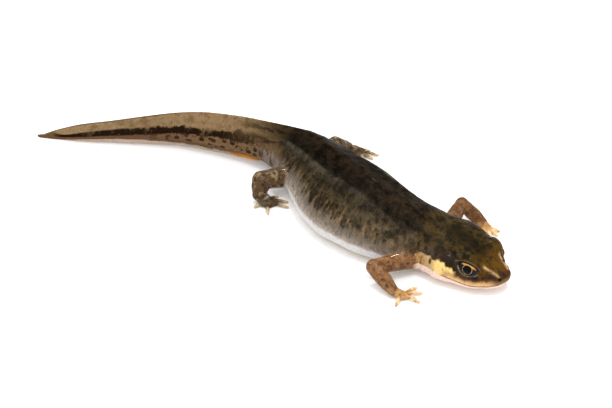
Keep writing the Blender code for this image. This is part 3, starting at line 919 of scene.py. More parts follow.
    def press_neck(self, push: np.ndarray, flesh: np.ndarray) -> None:
        """Fold of the throat, swellings behind the head and cheek, and the dip of the crown.

        Args:
            push: How far every point moves outwards, to which this adds.
            flesh: Share of every point that is no limb.
        """
        at, level = self.at, self.level
        fold = bump(at, self.throat_fold + 2.0 * (level - 0.6), 0.22)
        push -= 0.14 * fold * ramp(level, 0.40, 0.52) * flesh
        push += 0.10 * bump(at, 11.5, 0.5) * ramp(level, 0.45, 0.6) * flesh
        push += 0.16 * bump(at, 9.2, 1.8) * bump(level, 0.30, 0.09) * flesh
        push -= 0.16 * bump(at, 4.6, 1.5) * bump(level, 0.0, 0.10) * flesh * (at < 12)
        push += 0.10 * bump(at, 7.6, 1.2) * bump(level, 0.42, 0.08) * flesh

    def press_tail(self, push: np.ndarray) -> None:
        """Grooves between the muscles of the tail, and the fine unevenness of all skin.

        Args:
            push: How far every point moves outwards, to which this adds.
        """
        tail = ramp(self.at, 43, 46) * (1 - ramp(self.at, 74, 79)) * (1 - self.fin) * (1 - self.keel)
        slant = self.at + self.muscle_slant * np.abs(self.level - 0.5)
        bands = np.maximum(np.cos(2 * math.pi * slant / self.muscle_gap), 0) ** 4
        push -= self.muscle_depth * bands * tail
        for height, scale, seed, spared in self.lumps:
            rough = height * wander(self.points, scale, seed)
            push += rough * (1 - self.fin) * (1 - spared * self.digit)

    def lids_share(self) -> np.ndarray:
        """How far each point belongs to the lids, which get no other carving."""
        share = np.zeros(len(self.points))
        for socket in SOCKETS:
            reach, _, _, facing = socket.view(self.points)
            share = np.maximum(share, ramp(-reach, -2.5, -2.1) * ramp(facing, -0.2, 0.2))
        return share

    def carve_snout(self) -> None:
        """Nostrils, and the ridge from each eye to the nostril with the hollow under it."""
        normals = self.normals()
        push = np.zeros(len(self.points))
        for side in Side:
            gap = self.nostril_gap(side)
            push += self.nostril_rim.at(gap) + self.nostril_hole.at(gap)
            start, end = self.canthus(side)
            push += self.canthus_ridge.at(beside(self.points, start, end)[1])
            hollow = start + np.array((0, 0, -0.95)) + (end - start) * 0.35
            push += self.cheek_hollow.at(np.linalg.norm(self.points - hollow, axis=1))
        self.points += normals * push[:, None]

    def canthus(self, side: Side) -> tuple:
        """Both ends of the ridge that runs from an eye to its nostril."""
        ends = (self.canthus_start, self.canthus_end)
        return tuple(SPINE.place(at, side.value * out, height, ahead) for at, out, height, ahead in ends)

    def nostril_gap(self, side: Side) -> np.ndarray:
        """Distance of every point to the middle of a nostril."""
        at, out, height = self.nostril
        place = SPINE.place(at, side.value * out, height, SPINE.overhang)
        return np.linalg.norm(self.points - place, axis=1)

    def carve_lids(self) -> None:
        """Opens the lids over each eye, with a rolled rim and a fold round it."""
        for socket in SOCKETS:
            centre = socket.axes()[0]
            reach, _, above, facing = socket.view(self.points)
            rim = socket.rim(self.points)
            near = (facing > -0.1) & (reach < 3.4)
            fold = self.lid_roll.at(rim) + self.upper_fold.at(rim) * ramp(above, -0.6, 0.5)
            fold += self.lower_fold.at(rim) * ramp(-above, 0.2, 0.8)
            shell = np.minimum(reach, socket.outside + 0.55) + fold
            sunk = 0.30
            target = socket.radius - sunk + (shell - socket.radius + sunk) * ramp(rim, -0.16, 0.10)
            change = np.where(near & (rim < 1.2), target - reach, 0.0) * (1 - ramp(rim, 0.8, 1.2))
            covered = ramp(rim, 0.0, 0.12) * (facing > -0.6)
            missing = np.maximum(socket.outside - 0.03 - (reach + change), 0)
            cover = np.where(reach < 3.0, missing, 0) * covered
            offset = (self.points - centre) / np.maximum(reach, TINY)[:, None]
            self.points += offset * (change + cover)[:, None]


class Signal:
    """One value of a shader, written into expressions with + - * / and named shapers."""

    def __init__(self, paint: "Paint", socket: bpy.types.NodeSocket) -> None:
        """Wraps an output socket of a material that is being built."""
        self.paint = paint
        self.socket = socket

    def _math(self, operation: str, *values: object) -> "Signal":
        """Adds one Math node."""
        return self.paint.node("ShaderNodeMath", {"operation": operation}, dict(enumerate(values)))

    def __add__(self, other: object) -> "Signal":
        """Sum."""
        return self._math("ADD", self, other)

    def __radd__(self, other: object) -> "Signal":
        """Sum with a number before it."""
        return self._math("ADD", other, self)

    def __sub__(self, other: object) -> "Signal":
        """Difference."""
        return self._math("SUBTRACT", self, other)

    def __rsub__(self, other: object) -> "Signal":
        """Difference from a number."""
        return self._math("SUBTRACT", other, self)

    def __mul__(self, other: object) -> "Signal":
        """Product."""
        return self._math("MULTIPLY", self, other)

    def __rmul__(self, other: object) -> "Signal":
        """Product with a number before it."""
        return self._math("MULTIPLY", other, self)

    def __truediv__(self, other: object) -> "Signal":
        """Quotient."""
        return self._math("DIVIDE", self, other)

    def __abs__(self) -> "Signal":
        """Size without its sign."""
        return self._math("ABSOLUTE", self)

    def ramp(self, low: float, high: float) -> "Signal":
        """Soft step from 0 at low to 1 at high; high may be the lower one."""
        if low > high:
            return 1 - self.ramp(high, low)
        values = {"Value": self, "From Min": low, "From Max": high}
        return self.paint.node("ShaderNodeMapRange", {"interpolation_type": "SMOOTHSTEP"}, values)

    def bell(self, middle: float, width: float) -> "Signal":
        """1 at a middle, falling softly to 0 a width away."""
        return abs(self - middle).ramp(width, 0.0)

    def top(self, other: object) -> "Signal":
        """Larger of two values."""
        return self._math("MAXIMUM", self, other)


class Paint:
    """A material under construction."""

    def __init__(self, name: str) -> None:
        """Starts a node material with a Principled BSDF."""
        self.material = bpy.data.materials.new(name)
        self.material.use_nodes = True
        self.tree = self.material.node_tree
        self.shader = self.tree.nodes["Principled BSDF"]

    def node(
        self, kind: str, settings: Optional[dict] = None, values: Optional[dict] = None, out: object = 0
    ) -> Signal:
        """Adds a node.

        Args:
            kind: Its type.
            settings: Properties that are set first.
            values: Numbers, colours or signals for its sockets, by name or index.
            out: Name or index of the output that is wanted.

        Returns:
            That output.
        """
        node = self.tree.nodes.new(kind)
        for key, value in (settings or {}).items():
            setattr(node, key, value)
        for key, value in (values or {}).items():
            if isinstance(value, Signal):
                self.tree.links.new(value.socket, node.inputs[key])
            else:
                node.inputs[key].default_value = value
        return Signal(self, node.outputs[out])

    def attribute(self, name: str, vector: bool = False) -> Signal:
        """Value that the mesh carries under a name."""
        return self.node("ShaderNodeAttribute", {"attribute_name": name}, out="Vector" if vector else "Fac")

    def noise(self, place: Signal, scale: float, detail: float = 3.0, rough: float = 0.55) -> Signal:
        """Soft noise about 0.5 at a place; scale is in cycles per unit of the place."""
        values = {"Vector": place, "Scale": scale, "Detail": detail, "Roughness": rough}
        return self.node("ShaderNodeTexNoise", None, values, "Fac")

    def cells(self, place: Signal, scale: float) -> Signal:
        """Distance to scattered points at a place."""
        return self.node("ShaderNodeTexVoronoi", None, {"Vector": place, "Scale": scale}, "Distance")

    def spots(self, place: Signal, radius: float) -> Signal:
        """Round spots scattered over the plane, about one to each unit of the place."""
        settings = {"voronoi_dimensions": "2D"}
        gap = self.node("ShaderNodeTexVoronoi", settings, {"Vector": place, "Scale": 1.0}, "Distance")
        return gap.ramp(radius * 1.15, radius * 0.8)

    def stretched(self, place: Signal, factors: Sequence) -> Signal:
        """A place with its three directions scaled."""
        settings = {"operation": "MULTIPLY"}
        return self.node("ShaderNodeVectorMath", settings, {0: place, 1: tuple(factors)}, "Vector")

    def mix(self, share: object, one: object, other: object) -> Signal:
        """Colour between two colours."""
        values = {0: share, 6: self.colour(one), 7: self.colour(other)}
        return self.node("ShaderNodeMix", {"data_type": "RGBA"}, values, 2)

    @staticmethod
    def colour(value: object) -> object:
        """A colour with its alpha, or the signal as it is."""
        return value if isinstance(value, Signal) else (*value, 1.0)

    def feed(self, name: str, value: object) -> None:
        """Gives the shader's socket a value or a link."""
        if isinstance(value, Signal):
            self.tree.links.new(value.socket, self.shader.inputs[name])
        else:
            self.shader.inputs[name].default_value = value


@dataclass(frozen=True)
class SkinMarks:
    """What the mesh of the skin carries for its material, and a fine noise that follows it."""

    flow: Signal
    solid: Signal
    fine: Signal
    along: Signal
    level: Signal
    rise: Signal
    fin: Signal
    keel: Signal
    limb: Signal
    digit: Signal
    hind: Signal
    below: Signal

    @staticmethod
    def read(paint: Paint) -> "SkinMarks":
        """Reads them into a material that is being built."""
        flow = paint.attribute("flow", True)
        solid = paint.node("ShaderNodeTexCoord", out="Object")
        fine = paint.noise(paint.stretched(flow, (1.9, 1.9, 1.0)), 1.0, 5.0, 0.7)
        names = ("along", "level", "rise", "fin", "keel", "limb", "digit", "hind", "below")
        return SkinMarks(flow, solid, fine, *(paint.attribute(name) for name in names))


@dataclass(frozen=True)
class SkinFinish:
    """Colours of the wet skin, in linear light."""

    back: tuple = (0.0030, 0.0022, 0.0012)
    back_brown: tuple = (0.013, 0.009, 0.005)
    spine_band: tuple = (0.018, 0.011, 0.006)
    # ridge: painted sheen, a pale grey that stands in for the wet shine along the side ridges
    ridge: tuple = (0.120, 0.104, 0.080)
    shoulder: tuple = (0.190, 0.136, 0.086)
    flank: tuple = (0.010, 0.009, 0.006)
    flank_olive: tuple = (0.062, 0.046, 0.024)
    ochre: tuple = (0.260, 0.150, 0.062)
    low_flank: tuple = (0.440, 0.370, 0.315)
    belly_edge: tuple = (0.620, 0.600, 0.590)
    belly: tuple = (0.780, 0.520, 0.210)
    fin: tuple = (0.290, 0.195, 0.105)
    fin_dark: tuple = (0.125, 0.072, 0.032)
    stripe: tuple = (0.012, 0.006, 0.003)
    tail: tuple = (0.185, 0.112, 0.062)
    root: tuple = (0.060, 0.038, 0.018)
    haunch: tuple = (0.210, 0.165, 0.130)
    tail_far: tuple = (0.130, 0.066, 0.042)
    keel: tuple = (0.560, 0.450, 0.370)
    keel_orange: tuple = (0.780, 0.330, 0.060)
    head: tuple = (0.010, 0.007, 0.003)
    head_olive: tuple = (0.050, 0.032, 0.010)
    snout: tuple = (0.100, 0.050, 0.011)
    temple: tuple = (0.024, 0.015, 0.010)
    cheek_brown: tuple = (0.070, 0.028, 0.011)
    patch: tuple = (0.860, 0.620, 0.250)
    patch_dull: tuple = (0.500, 0.330, 0.170)
    neck: tuple = (0.460, 0.275, 0.125)
    lip: tuple = (0.740, 0.460, 0.230)
    lip_brown: tuple = (0.270, 0.125, 0.048)
    jaw: tuple = (0.860, 0.660, 0.560)
    leg: tuple = (0.235, 0.113, 0.050)
    leg_brown: tuple = (0.080, 0.040, 0.020)
    leg_dark: tuple = (0.030, 0.018, 0.010)
    leg_pale: tuple = (0.380, 0.235, 0.125)
    hand: tuple = (0.510, 0.290, 0.122)
    finger: tuple = (0.860, 0.620, 0.380)
    hind: tuple = (0.090, 0.054, 0.027)
    hind_pale: tuple = (0.270, 0.200, 0.112)
    foot: tuple = (0.050, 0.028, 0.014)
    toe: tuple = (0.520, 0.390, 0.240)
    mouth_line: tuple = (0.100, 0.045, 0.028)
    # lid: pale lower lid rim, partly its own colour and partly a painted glint of the wet rim
    lid: tuple = (0.240, 0.220, 0.210)
    lid_upper: tuple = (0.200, 0.140, 0.120)
    lid_shadow: tuple = (0.010, 0.010, 0.013)

    def material(self) -> bpy.types.Material:
        """Builds the material of the skin."""
        paint = Paint("newt_skin")
        marks = SkinMarks.read(paint)
        colour = self.trunk(paint, marks)
        colour = self.tail_colours(paint, marks, colour)
        colour = self.head_colours(paint, marks, colour)
        colour = self.shoulder_colours(paint, marks, colour)
        colour = self.limb_colours(paint, marks, colour)
        colour = self.lid_colours(paint, colour)
        grain = paint.noise(marks.solid, 4800.0, 3.0, 0.7)
        values = {"Color": colour, "Value": grain * 1.1 + 0.45, "Saturation": 1.05}
        paint.feed("Base Color", paint.node("ShaderNodeHueSaturation", None, values))
        self.surface(paint, marks)
        return paint.material

    def surface(self, paint: Paint, marks: SkinMarks) -> None:
        """Fine pebbling, and a wet coat where light glints on legs, nape, lids and snout.

        Args:
            paint: The material that is being built.
            marks: What its mesh carries.
        """
        wet = paint.noise(marks.solid, 900.0, 3.0)
        paint.feed("Roughness", wet.ramp(0.3, 0.7) * 0.16 + 0.38)
        pebbles = paint.noise(marks.solid, 5200.0, 3.0, 0.6) * 0.6 + paint.cells(marks.solid, 3000.0) * 0.5
        values = {"Strength": 0.5, "Distance": 0.00007, "Height": pebbles}
        paint.feed("Normal", paint.node("ShaderNodeBump", None, values, "Normal"))
        nape = marks.along.ramp(12.5, 11.0) * 0.25
        edges = paint.attribute("canthus").top(paint.attribute("lid_fold"))
        shine = (marks.limb.top(nape) * 0.30).top(edges * 0.75) + 0.01
        paint.feed("Coat Weight", wet.ramp(0.42, 0.56) * shine + 0.01)
        paint.feed("Coat Roughness", 0.10)
        paint.feed("Specular IOR Level", 0.01)
        paint.feed("Subsurface Weight", 0.10)
        paint.feed("Subsurface Radius", (1.0, 0.45, 0.25))
        paint.feed("Subsurface Scale", 0.0005)

    def trunk(self, paint: Paint, marks: SkinMarks) -> Signal:
        """Back, side ridges with a painted sheen, flanks and belly.

        Args:
            paint: The material that is being built.
            marks: What its mesh carries.

        Returns:
            The colour of the whole trunk.
        """
        flow, fine, along, level = marks.flow, marks.fine, marks.along, marks.level
        wavy = paint.noise(paint.stretched(flow, (0.30, 0.30, 1.0)), 1.0, 3.0) - 0.5
        mottle = paint.noise(paint.stretched(flow, (0.65, 0.9, 1.0)), 1.0, 4.0, 0.65)
        dash = paint.noise(paint.stretched(flow, (1.5, 0.45, 1.0)), 1.0, 4.0, 0.65)
        blot = paint.noise(paint.stretched(flow, (0.5, 0.4, 1.0)), 1.0, 4.0, 0.6)
        colour = paint.mix(mottle.ramp(0.40, 0.62), self.back, self.back_brown)
        band = (level + wavy * 0.08).ramp(0.14, 0.05)
        colour = paint.mix(band * mottle.ramp(0.36, 0.6), colour, self.spine_band)
        colour = paint.mix(fine.ramp(0.50, 0.62) * 0.5, colour, self.back)
        edge = level + wavy * 0.12 + (fine - 0.5) * 0.05 + (mottle - 0.5) * 0.12
        colour = paint.mix(edge.ramp(0.185, 0.28), colour, self.flank_colours(paint, marks, dash, blot))
        # Painted sheen: a broken pale grey band along the side ridges stands in for their wet shine.
        broken = blot.ramp(0.62, 0.40) * along.ramp(18, 28) * 0.48 + 0.15
        sheen = (level + wavy * 0.04).bell(0.24, 0.04) * broken
        colour = paint.mix(sheen * along.ramp(13, 20) * 0.45, colour, self.ridge)
        low = level + (dash - 0.5) * 0.30 + (fine - 0.5) * 0.14 + along.bell(33.0, 6.0) * 0.03
        flecks = (dash * 0.6 + fine * 0.4).ramp(0.45, 0.57) * 0.75
        pale = paint.mix(flecks, self.low_flank, self.flank_olive)
        colour = paint.mix(low.ramp(0.370, 0.520), colour, pale)
        rim = level + (dash - 0.5) * 0.12 + (fine - 0.5) * 0.10
        colour = paint.mix(rim.ramp(0.490, 0.545), colour, self.belly_edge)
        return paint.mix((level + wavy * 0.04).ramp(0.72, 0.84), colour, self.belly)

    def flank_colours(self, paint: Paint, marks: SkinMarks, dash: Signal, blot: Signal) -> Signal:
        """Olive and dark mottling with upright ochre dashes.

        Args:
            paint: The material that is being built.
            marks: What its mesh carries.
            dash: Noise drawn out upright.
            blot: Coarse noise.

        Returns:
            The colour of the upper flank.
        """
        fine = marks.fine
        olive = paint.noise(paint.stretched(marks.flow, (1.25, 0.60, 1.0)), 1.0, 5.0, 0.7)
        flank = paint.mix((olive * 0.5 + fine * 0.5).ramp(0.40, 0.60), self.flank, self.flank_olive)
        dashes = (dash + (fine - 0.5) * 0.3).ramp(0.50, 0.64) * marks.level.ramp(0.28, 0.42) * 0.8
        flank = paint.mix(dashes, flank, self.ochre)
        return paint.mix((blot * 0.6 + fine * 0.5).ramp(0.52, 0.66) * 0.75, flank, self.back)

    def shoulder_colours(self, paint: Paint, marks: SkinMarks, colour: Signal) -> Signal:
        """Lighter clouds over the neck and the front of the trunk.

        Args:
            paint: The material that is being built.
            marks: What its mesh carries.
            colour: Colour below them.

        Returns:
            The colour with them.
        """
        along, level = marks.along, marks.level
        cheek = level.ramp(0.28, 0.36) * along.ramp(15.0, 12.5)
        front = along.ramp(27.0, 16.0) * along.ramp(7.5, 11.5) * (1 - cheek) * level.ramp(0.56, 0.48)
        cloud = paint.noise(paint.stretched(marks.flow, (1.0, 0.7, 1.0)), 1.0, 5.0, 0.7)
        dust = (level.ramp(0.18, 0.34) * 0.36 + 0.06) * (cloud.ramp(0.44, 0.57) + 0.08)
        return paint.mix(front * dust, colour, self.shoulder)

    def tail_colours(self, paint: Paint, marks: SkinMarks, colour: Signal) -> Signal:
        """Fins, the dark stripe, the spotted muscle, the pale lower edge and the haunch.

        Args:
            paint: The material that is being built.
            marks: What its mesh carries.
            colour: Colour of the trunk.

        Returns:
            The colour of trunk and tail.
        """
        flow, fine, along, rise, keel = marks.flow, marks.fine, marks.along, marks.rise, marks.keel
        blotch = paint.noise(paint.stretched(flow, (0.55, 0.50, 1.0)), 1.0, 4.0, 0.65)
        uneven = (blotch - 0.5) * 0.9 + (fine - 0.5) * 0.5
        ragged = rise + uneven * (along.ramp(74, 56) * 0.55 + 0.45)
        muscle = self.muscle_colours(paint, marks, blotch)
        vane = paint.mix(fine.ramp(0.42, 0.66) * 0.42, self.fin, self.fin_dark)
        vane = paint.mix(blotch.ramp(0.48, 0.64) * 0.6, vane, self.fin_dark)
        vane = paint.mix(marks.fin.ramp(0.88, 1.0) * along.ramp(50, 66) * 0.6, vane, self.stripe)
        tail = paint.mix(ragged.ramp(0.62, 0.76), muscle, vane)
        root = along.ramp(53.0, 43.0)
        broken = 1 - root * blotch.ramp(0.56, 0.44) * 0.9
        worn = 1 - blotch.ramp(0.50, 0.62) * fine.ramp(0.40, 0.60) * 0.55
        bulk = (ragged - 0.56) * (1 - along.ramp(56, 70) * 0.35)
        core = bulk.bell(0.0, 0.46).ramp(0.04, 0.58) * broken * worn * along.ramp(43, 47)
        tail = paint.mix(core, tail, self.stripe)
        tail = paint.mix(along.ramp(52.0, 42.5) * rise.ramp(0.3, 0.8) * 0.9, tail, self.root)
        grain = paint.noise(paint.stretched(flow, (0.22, 1.3, 1.0)), 1.0, 3.0, 0.6)
        dusk = root * ragged.ramp(0.45, 0.7) * (fine * 0.35 + grain * 0.85).ramp(0.56, 0.72)
        tail = paint.mix(dusk * 0.85, tail, self.stripe)
        hem = (keel + (fine - 0.5) * 0.8 - along.ramp(70, 60) * 0.4).ramp(0.45, 0.95)
        tail = paint.mix(hem * (along.ramp(50, 66) * 0.4 + 0.6), tail, self.keel)
        tail = paint.mix(keel.ramp(0.2, 0.6) * along.bell(48.5, 4.4), tail, self.keel_orange)
        tail = paint.mix(along.ramp(78.5, 79.8), tail, self.fin_dark)
        streaks = paint.noise(paint.stretched(flow, (1.5, 0.45, 1.0)), 1.0, 3.0, 0.6)
        haunch = paint.mix(streaks.ramp(0.44, 0.58) * 0.8, self.haunch, self.leg_dark)
        tail = paint.mix(along.ramp(47.5, 43.0) * ragged.ramp(0.50, 0.15), tail, haunch)
        return paint.mix((along + (blotch - 0.5) * 6.0 - rise * 3.0).ramp(36.5, 43.0), colour, tail)

    def muscle_colours(self, paint: Paint, marks: SkinMarks, blotch: Signal) -> Signal:
        """Brown muscle of the tail with round dark spots and a pale underside.

        Args:
            paint: The material that is being built.
            marks: What its mesh carries.
            blotch: Coarse noise.

        Returns:
            The colour of the muscle.
        """
        along, rise = marks.along, marks.rise
        muscle = paint.mix(along.ramp(52, 66), self.tail, self.tail_far)
        muscle = paint.mix(marks.fine.ramp(0.40, 0.60) * 0.75, muscle, self.fin_dark)
        spots = paint.spots(paint.stretched(marks.flow, (0.74, 0.78, 0.0)), 0.33) * blotch.ramp(0.34, 0.44)
        spots = spots * rise.ramp(-0.9, -0.6) * along.ramp(68, 58) * rise.ramp(0.35, 0.1)
        muscle = paint.mix(spots * 0.92, muscle, self.stripe)
        under = rise + (blotch - 0.5) * 0.6 + along.ramp(70, 60) * 0.4
        return paint.mix(under.ramp(-0.80, -1.1), muscle, self.keel)

    def head_colours(self, paint: Paint, marks: SkinMarks, colour: Signal) -> Signal:
        """Crown, snout, temple stripe, cheek patch, lips and throat, with a pale canthus line that is
        partly a painted highlight.

        Args:
            paint: The material that is being built.
            marks: What its mesh carries.
            colour: Colour of trunk and tail.

        Returns:
            The colour of the whole body.
        """
        flow, fine, along = marks.flow, marks.fine, marks.along
        mottle = paint.noise(paint.stretched(flow, (0.8, 0.9, 1.0)), 1.0, 5.0, 0.7)
        wavy = paint.noise(paint.stretched(flow, (0.5, 0.5, 1.0)), 1.0, 2.0) - 0.5
        mouth = paint.attribute("mouth")
        head = paint.mix(mottle.ramp(0.40, 0.62), self.head, self.head_olive)
        head = paint.mix(along.ramp(5.2, 2.0) * mottle.ramp(0.28, 0.56) * 0.9, head, self.snout)
        middle = (marks.level + wavy * 0.05).ramp(0.11, 0.03) * along.ramp(12.5, 9.0) * along.ramp(2.6, 5.0)
        head = paint.mix(middle * 0.8, head, self.head)
        rough = (fine - 0.5) * 0.5
        temple = (mouth + rough + wavy * 0.4).bell(2.15, 0.95)
        head = paint.mix(temple * along.ramp(5.4, 6.2) * along.ramp(12.5, 10.0), head, self.temple)
        loreal = (mouth + rough * 1.4).ramp(1.7, 1.2) * along.ramp(5.0, 3.6)
        head = paint.mix(loreal, head, paint.mix(mottle.ramp(0.42, 0.58), self.temple, self.cheek_brown))
        head = self.cheek_colours(paint, marks, head, mouth, rough, wavy)
        head = self.mouth_colours(paint, marks, head, mouth)
        # The pale line along each canthal ridge is partly its own paler colour and partly a painted
        # highlight that stands in for its wet glint.
        edge = paint.attribute("canthus") * (fine.ramp(0.30, 0.55) * 0.7 + 0.1)
        head = paint.mix(edge, head, self.lip)
        # Painted shade: each nostril opening is filled with the near-black of the head, which stands in for
        # the shadow inside it.
        head = paint.mix(paint.attribute("nostril"), head, self.head)
        return paint.mix((along + wavy * 1.6).ramp(14.2, 12.6), colour, head)

    def cheek_colours(
        self, paint: Paint, marks: SkinMarks, head: Signal, mouth: Signal, rough: Signal, wavy: Signal
    ) -> Signal:
        """Yellow patch behind each eye, with a few dark spots, and the streaked neck behind it.

        Args:
            paint: The material that is being built.
            marks: What its mesh carries.
            head: Colour of the head.
            mouth: Height above the mouth line.
            rough: Fine noise about 0.
            wavy: Coarse noise about 0.

        Returns:
            The colour with them.
        """
        fine, along = marks.fine, marks.along
        dull = fine.ramp(0.52, 0.66).top((along + rough).ramp(8.4, 10.4))
        wedge = mouth + rough * 1.8 + wavy * 1.1 + along.ramp(7.6, 5.6) * 0.20
        cheek = wedge.ramp(1.76, 1.46) * along.ramp(5.2, 6.0)
        head = paint.mix(cheek, head, paint.mix(dull, self.patch, self.patch_dull))
        spots = paint.spots(paint.stretched(marks.flow, (0.75, 0.75, 0.0)), 0.22)
        head = paint.mix(spots * cheek * along.ramp(8.2, 9.2) * 0.9, head, self.head_olive)
        side = paint.noise(paint.stretched(marks.flow, (1.6, 0.5, 1.0)), 1.0, 4.0, 0.7)
        streaked = paint.mix((side * 0.5 + fine * 0.5).ramp(0.44, 0.58) * 0.8, self.neck, self.cheek_brown)
        return paint.mix(along.ramp(10.8, 11.6) * (mouth + rough).ramp(1.7, 1.0), head, streaked)

    def mouth_colours(self, paint: Paint, marks: SkinMarks, head: Signal, mouth: Signal) -> Signal:
        """Brown streaks over a pale upper lip, the pink jaw and the dark line of the mouth.

        Args:
            paint: The material that is being built.
            marks: What its mesh carries.
            head: Colour of the head.
            mouth: Height above the mouth line.

        Returns:
            The colour with them.
        """
        fine, along = marks.fine, marks.along
        streaks = paint.noise(paint.stretched(marks.flow, (1.1, 0.6, 1.0)), 1.0, 4.0, 0.7) - 0.5
        over = (mouth + streaks * 1.4).ramp(1.20, 0.30) * along.ramp(7.6, 6.4) * along.ramp(0.3, 1.6)
        head = paint.mix(over * 0.85, head, self.lip_brown)
        lip = (mouth + streaks * 0.8).ramp(0.95, 0.20) * along.ramp(7.0, 6.0)
        head = paint.mix(lip * (along.ramp(0.2, 1.6) * 0.7 + 0.3), head, self.lip)
        specks = fine.ramp(0.56, 0.68) * (along.ramp(6.5, 8.5) * 0.4 + 0.3)
        head = paint.mix(mouth.ramp(0.02, -0.10), head, paint.mix(specks, self.jaw, self.patch_dull))
        return paint.mix(abs(mouth).ramp(0.15, 0.04) * along.ramp(8.0, 6.8) * 0.8, head, self.mouth_line)

    def limb_colours(self, paint: Paint, marks: SkinMarks, colour: Signal) -> Signal:
        """Speckled legs that pale towards the digits, with painted shade darkening the far (left) foreleg;
        the hind feet stay dark.

        Args:
            paint: The material that is being built.
            marks: What its mesh carries.
            colour: Colour of the body.

        Returns:
            The colour of body and legs.
        """
        digit = marks.digit
        speckle = paint.noise(marks.solid, 2000.0, 2.0, 0.5)
        patch = paint.noise(marks.solid, 800.0, 4.0, 0.65)
        blur = paint.noise(marks.solid, 1300.0, 5.0, 0.75)
        front = paint.mix(patch.ramp(0.50, 0.62) * 0.5, self.leg, self.leg_pale)
        front = paint.mix(blur.ramp(0.45, 0.60) * 0.8, front, self.leg_brown)
        front = paint.mix(speckle.ramp(0.52, 0.76) * 0.7, front, self.leg_dark)
        # Painted shade: the far (left) foreleg is darkened with brown, which stands in for the shade it
        # lies in.
        left = paint.node("ShaderNodeSeparateXYZ", None, {"Vector": marks.solid}, "Y").ramp(0.0005, 0.0025)
        front = paint.mix(left * (blur.ramp(0.35, 0.60) * 0.40 + 0.28), front, self.leg_brown)
        hand = paint.mix(speckle.ramp(0.48, 0.70) * 0.6, self.hand, self.leg_brown)
        front = paint.mix(digit.ramp(0.02, 0.3), front, hand)
        tips = digit.ramp(0.30, 0.75) * (speckle.ramp(0.66, 0.50) * 0.5 + 0.35)
        front = paint.mix(tips, front, self.finger)
        rear = paint.mix(patch.ramp(0.49, 0.60) * 0.9, self.hind, self.hind_pale)
        rear = paint.mix(blur.ramp(0.46, 0.60) * 0.8, rear, self.leg_brown)
        rear = paint.mix(speckle.ramp(0.50, 0.66) * 0.95, rear, self.leg_dark)
        rear = paint.mix(digit.ramp(0.0, 0.2) * 0.8, rear, self.foot)
        toes = digit.ramp(0.50, 0.92) * (speckle.ramp(0.62, 0.48) * 0.5 + 0.5)
        rear = paint.mix(toes, rear, self.toe)
        legs = paint.mix(marks.hind, front, rear)
        legs = paint.mix(marks.below * digit.ramp(0.3, 0.1), legs, self.low_flank)
        return paint.mix(marks.limb, colour, legs)

    def lid_colours(self, paint: Paint, colour: Signal) -> Signal:
        """Pale lower lid rim, partly its own colour and partly a painted glint, dark upper one with a
        lighter fold.

        Args:
            paint: The material that is being built.
            colour: Colour of the body.

        Returns:
            The colour of body and lids.
        """
        colour = paint.mix(paint.attribute("lid_dark"), colour, self.lid_shadow)
        colour = paint.mix(paint.attribute("lid_fold") * 0.4, colour, self.lid_upper)
        # Pale lower lid rim: its own colour together with a painted glint of the wet rim.
        return paint.mix(paint.attribute("lid_pale") * 0.6, colour, self.lid)


@dataclass(frozen=True)
class EyeFinish:
    """Black pupil in a golden ring, dark bronze iris with a bar, under a clear wet surface."""

    pupil: tuple = (0.001, 0.001, 0.001)
    ring: tuple = (0.470, 0.290, 0.080)
    iris: tuple = (0.006, 0.009, 0.015)
    gold: tuple = (0.720, 0.330, 0.060)
    rim: tuple = (0.006, 0.007, 0.011)

    def material(self) -> bpy.types.Material:
        """Builds the material of the eyes."""
        paint = Paint("newt_eye")
        ring, above = paint.attribute("ring"), paint.attribute("above")
        solid = paint.node("ShaderNodeTexCoord", out="Object")
        flecks = paint.noise(solid, 4200.0, 4.0, 0.7)
        iris = paint.mix(flecks.ramp(0.58, 0.70) * 0.6, self.iris, self.gold)
        streak = above.bell(0.60, 0.32) * ring.ramp(1.50, 1.15) * flecks.ramp(0.30, 0.46)
        iris = paint.mix(streak, iris, self.gold)
        bar = abs(above - 0.05).ramp(0.40, 0.20)
        iris = paint.mix(bar * 0.8, iris, self.rim)
        eye = paint.mix(ring.ramp(1.45, 1.62), iris, self.rim)
        edge = ring + (flecks - 0.5) * 0.30
        eye = paint.mix(edge.ramp(0.70, 0.65) * flecks.ramp(0.40, 0.54), eye, self.ring)
        eye = paint.mix(edge.ramp(0.64, 0.58), eye, self.pupil)
        paint.feed("Base Color", eye)
        paint.feed("Roughness", 0.12)
        paint.feed("Specular IOR Level", 0.04)
        paint.feed("Coat Weight", 0.16)
        paint.feed("Coat Roughness", 0.02)
        return paint.material


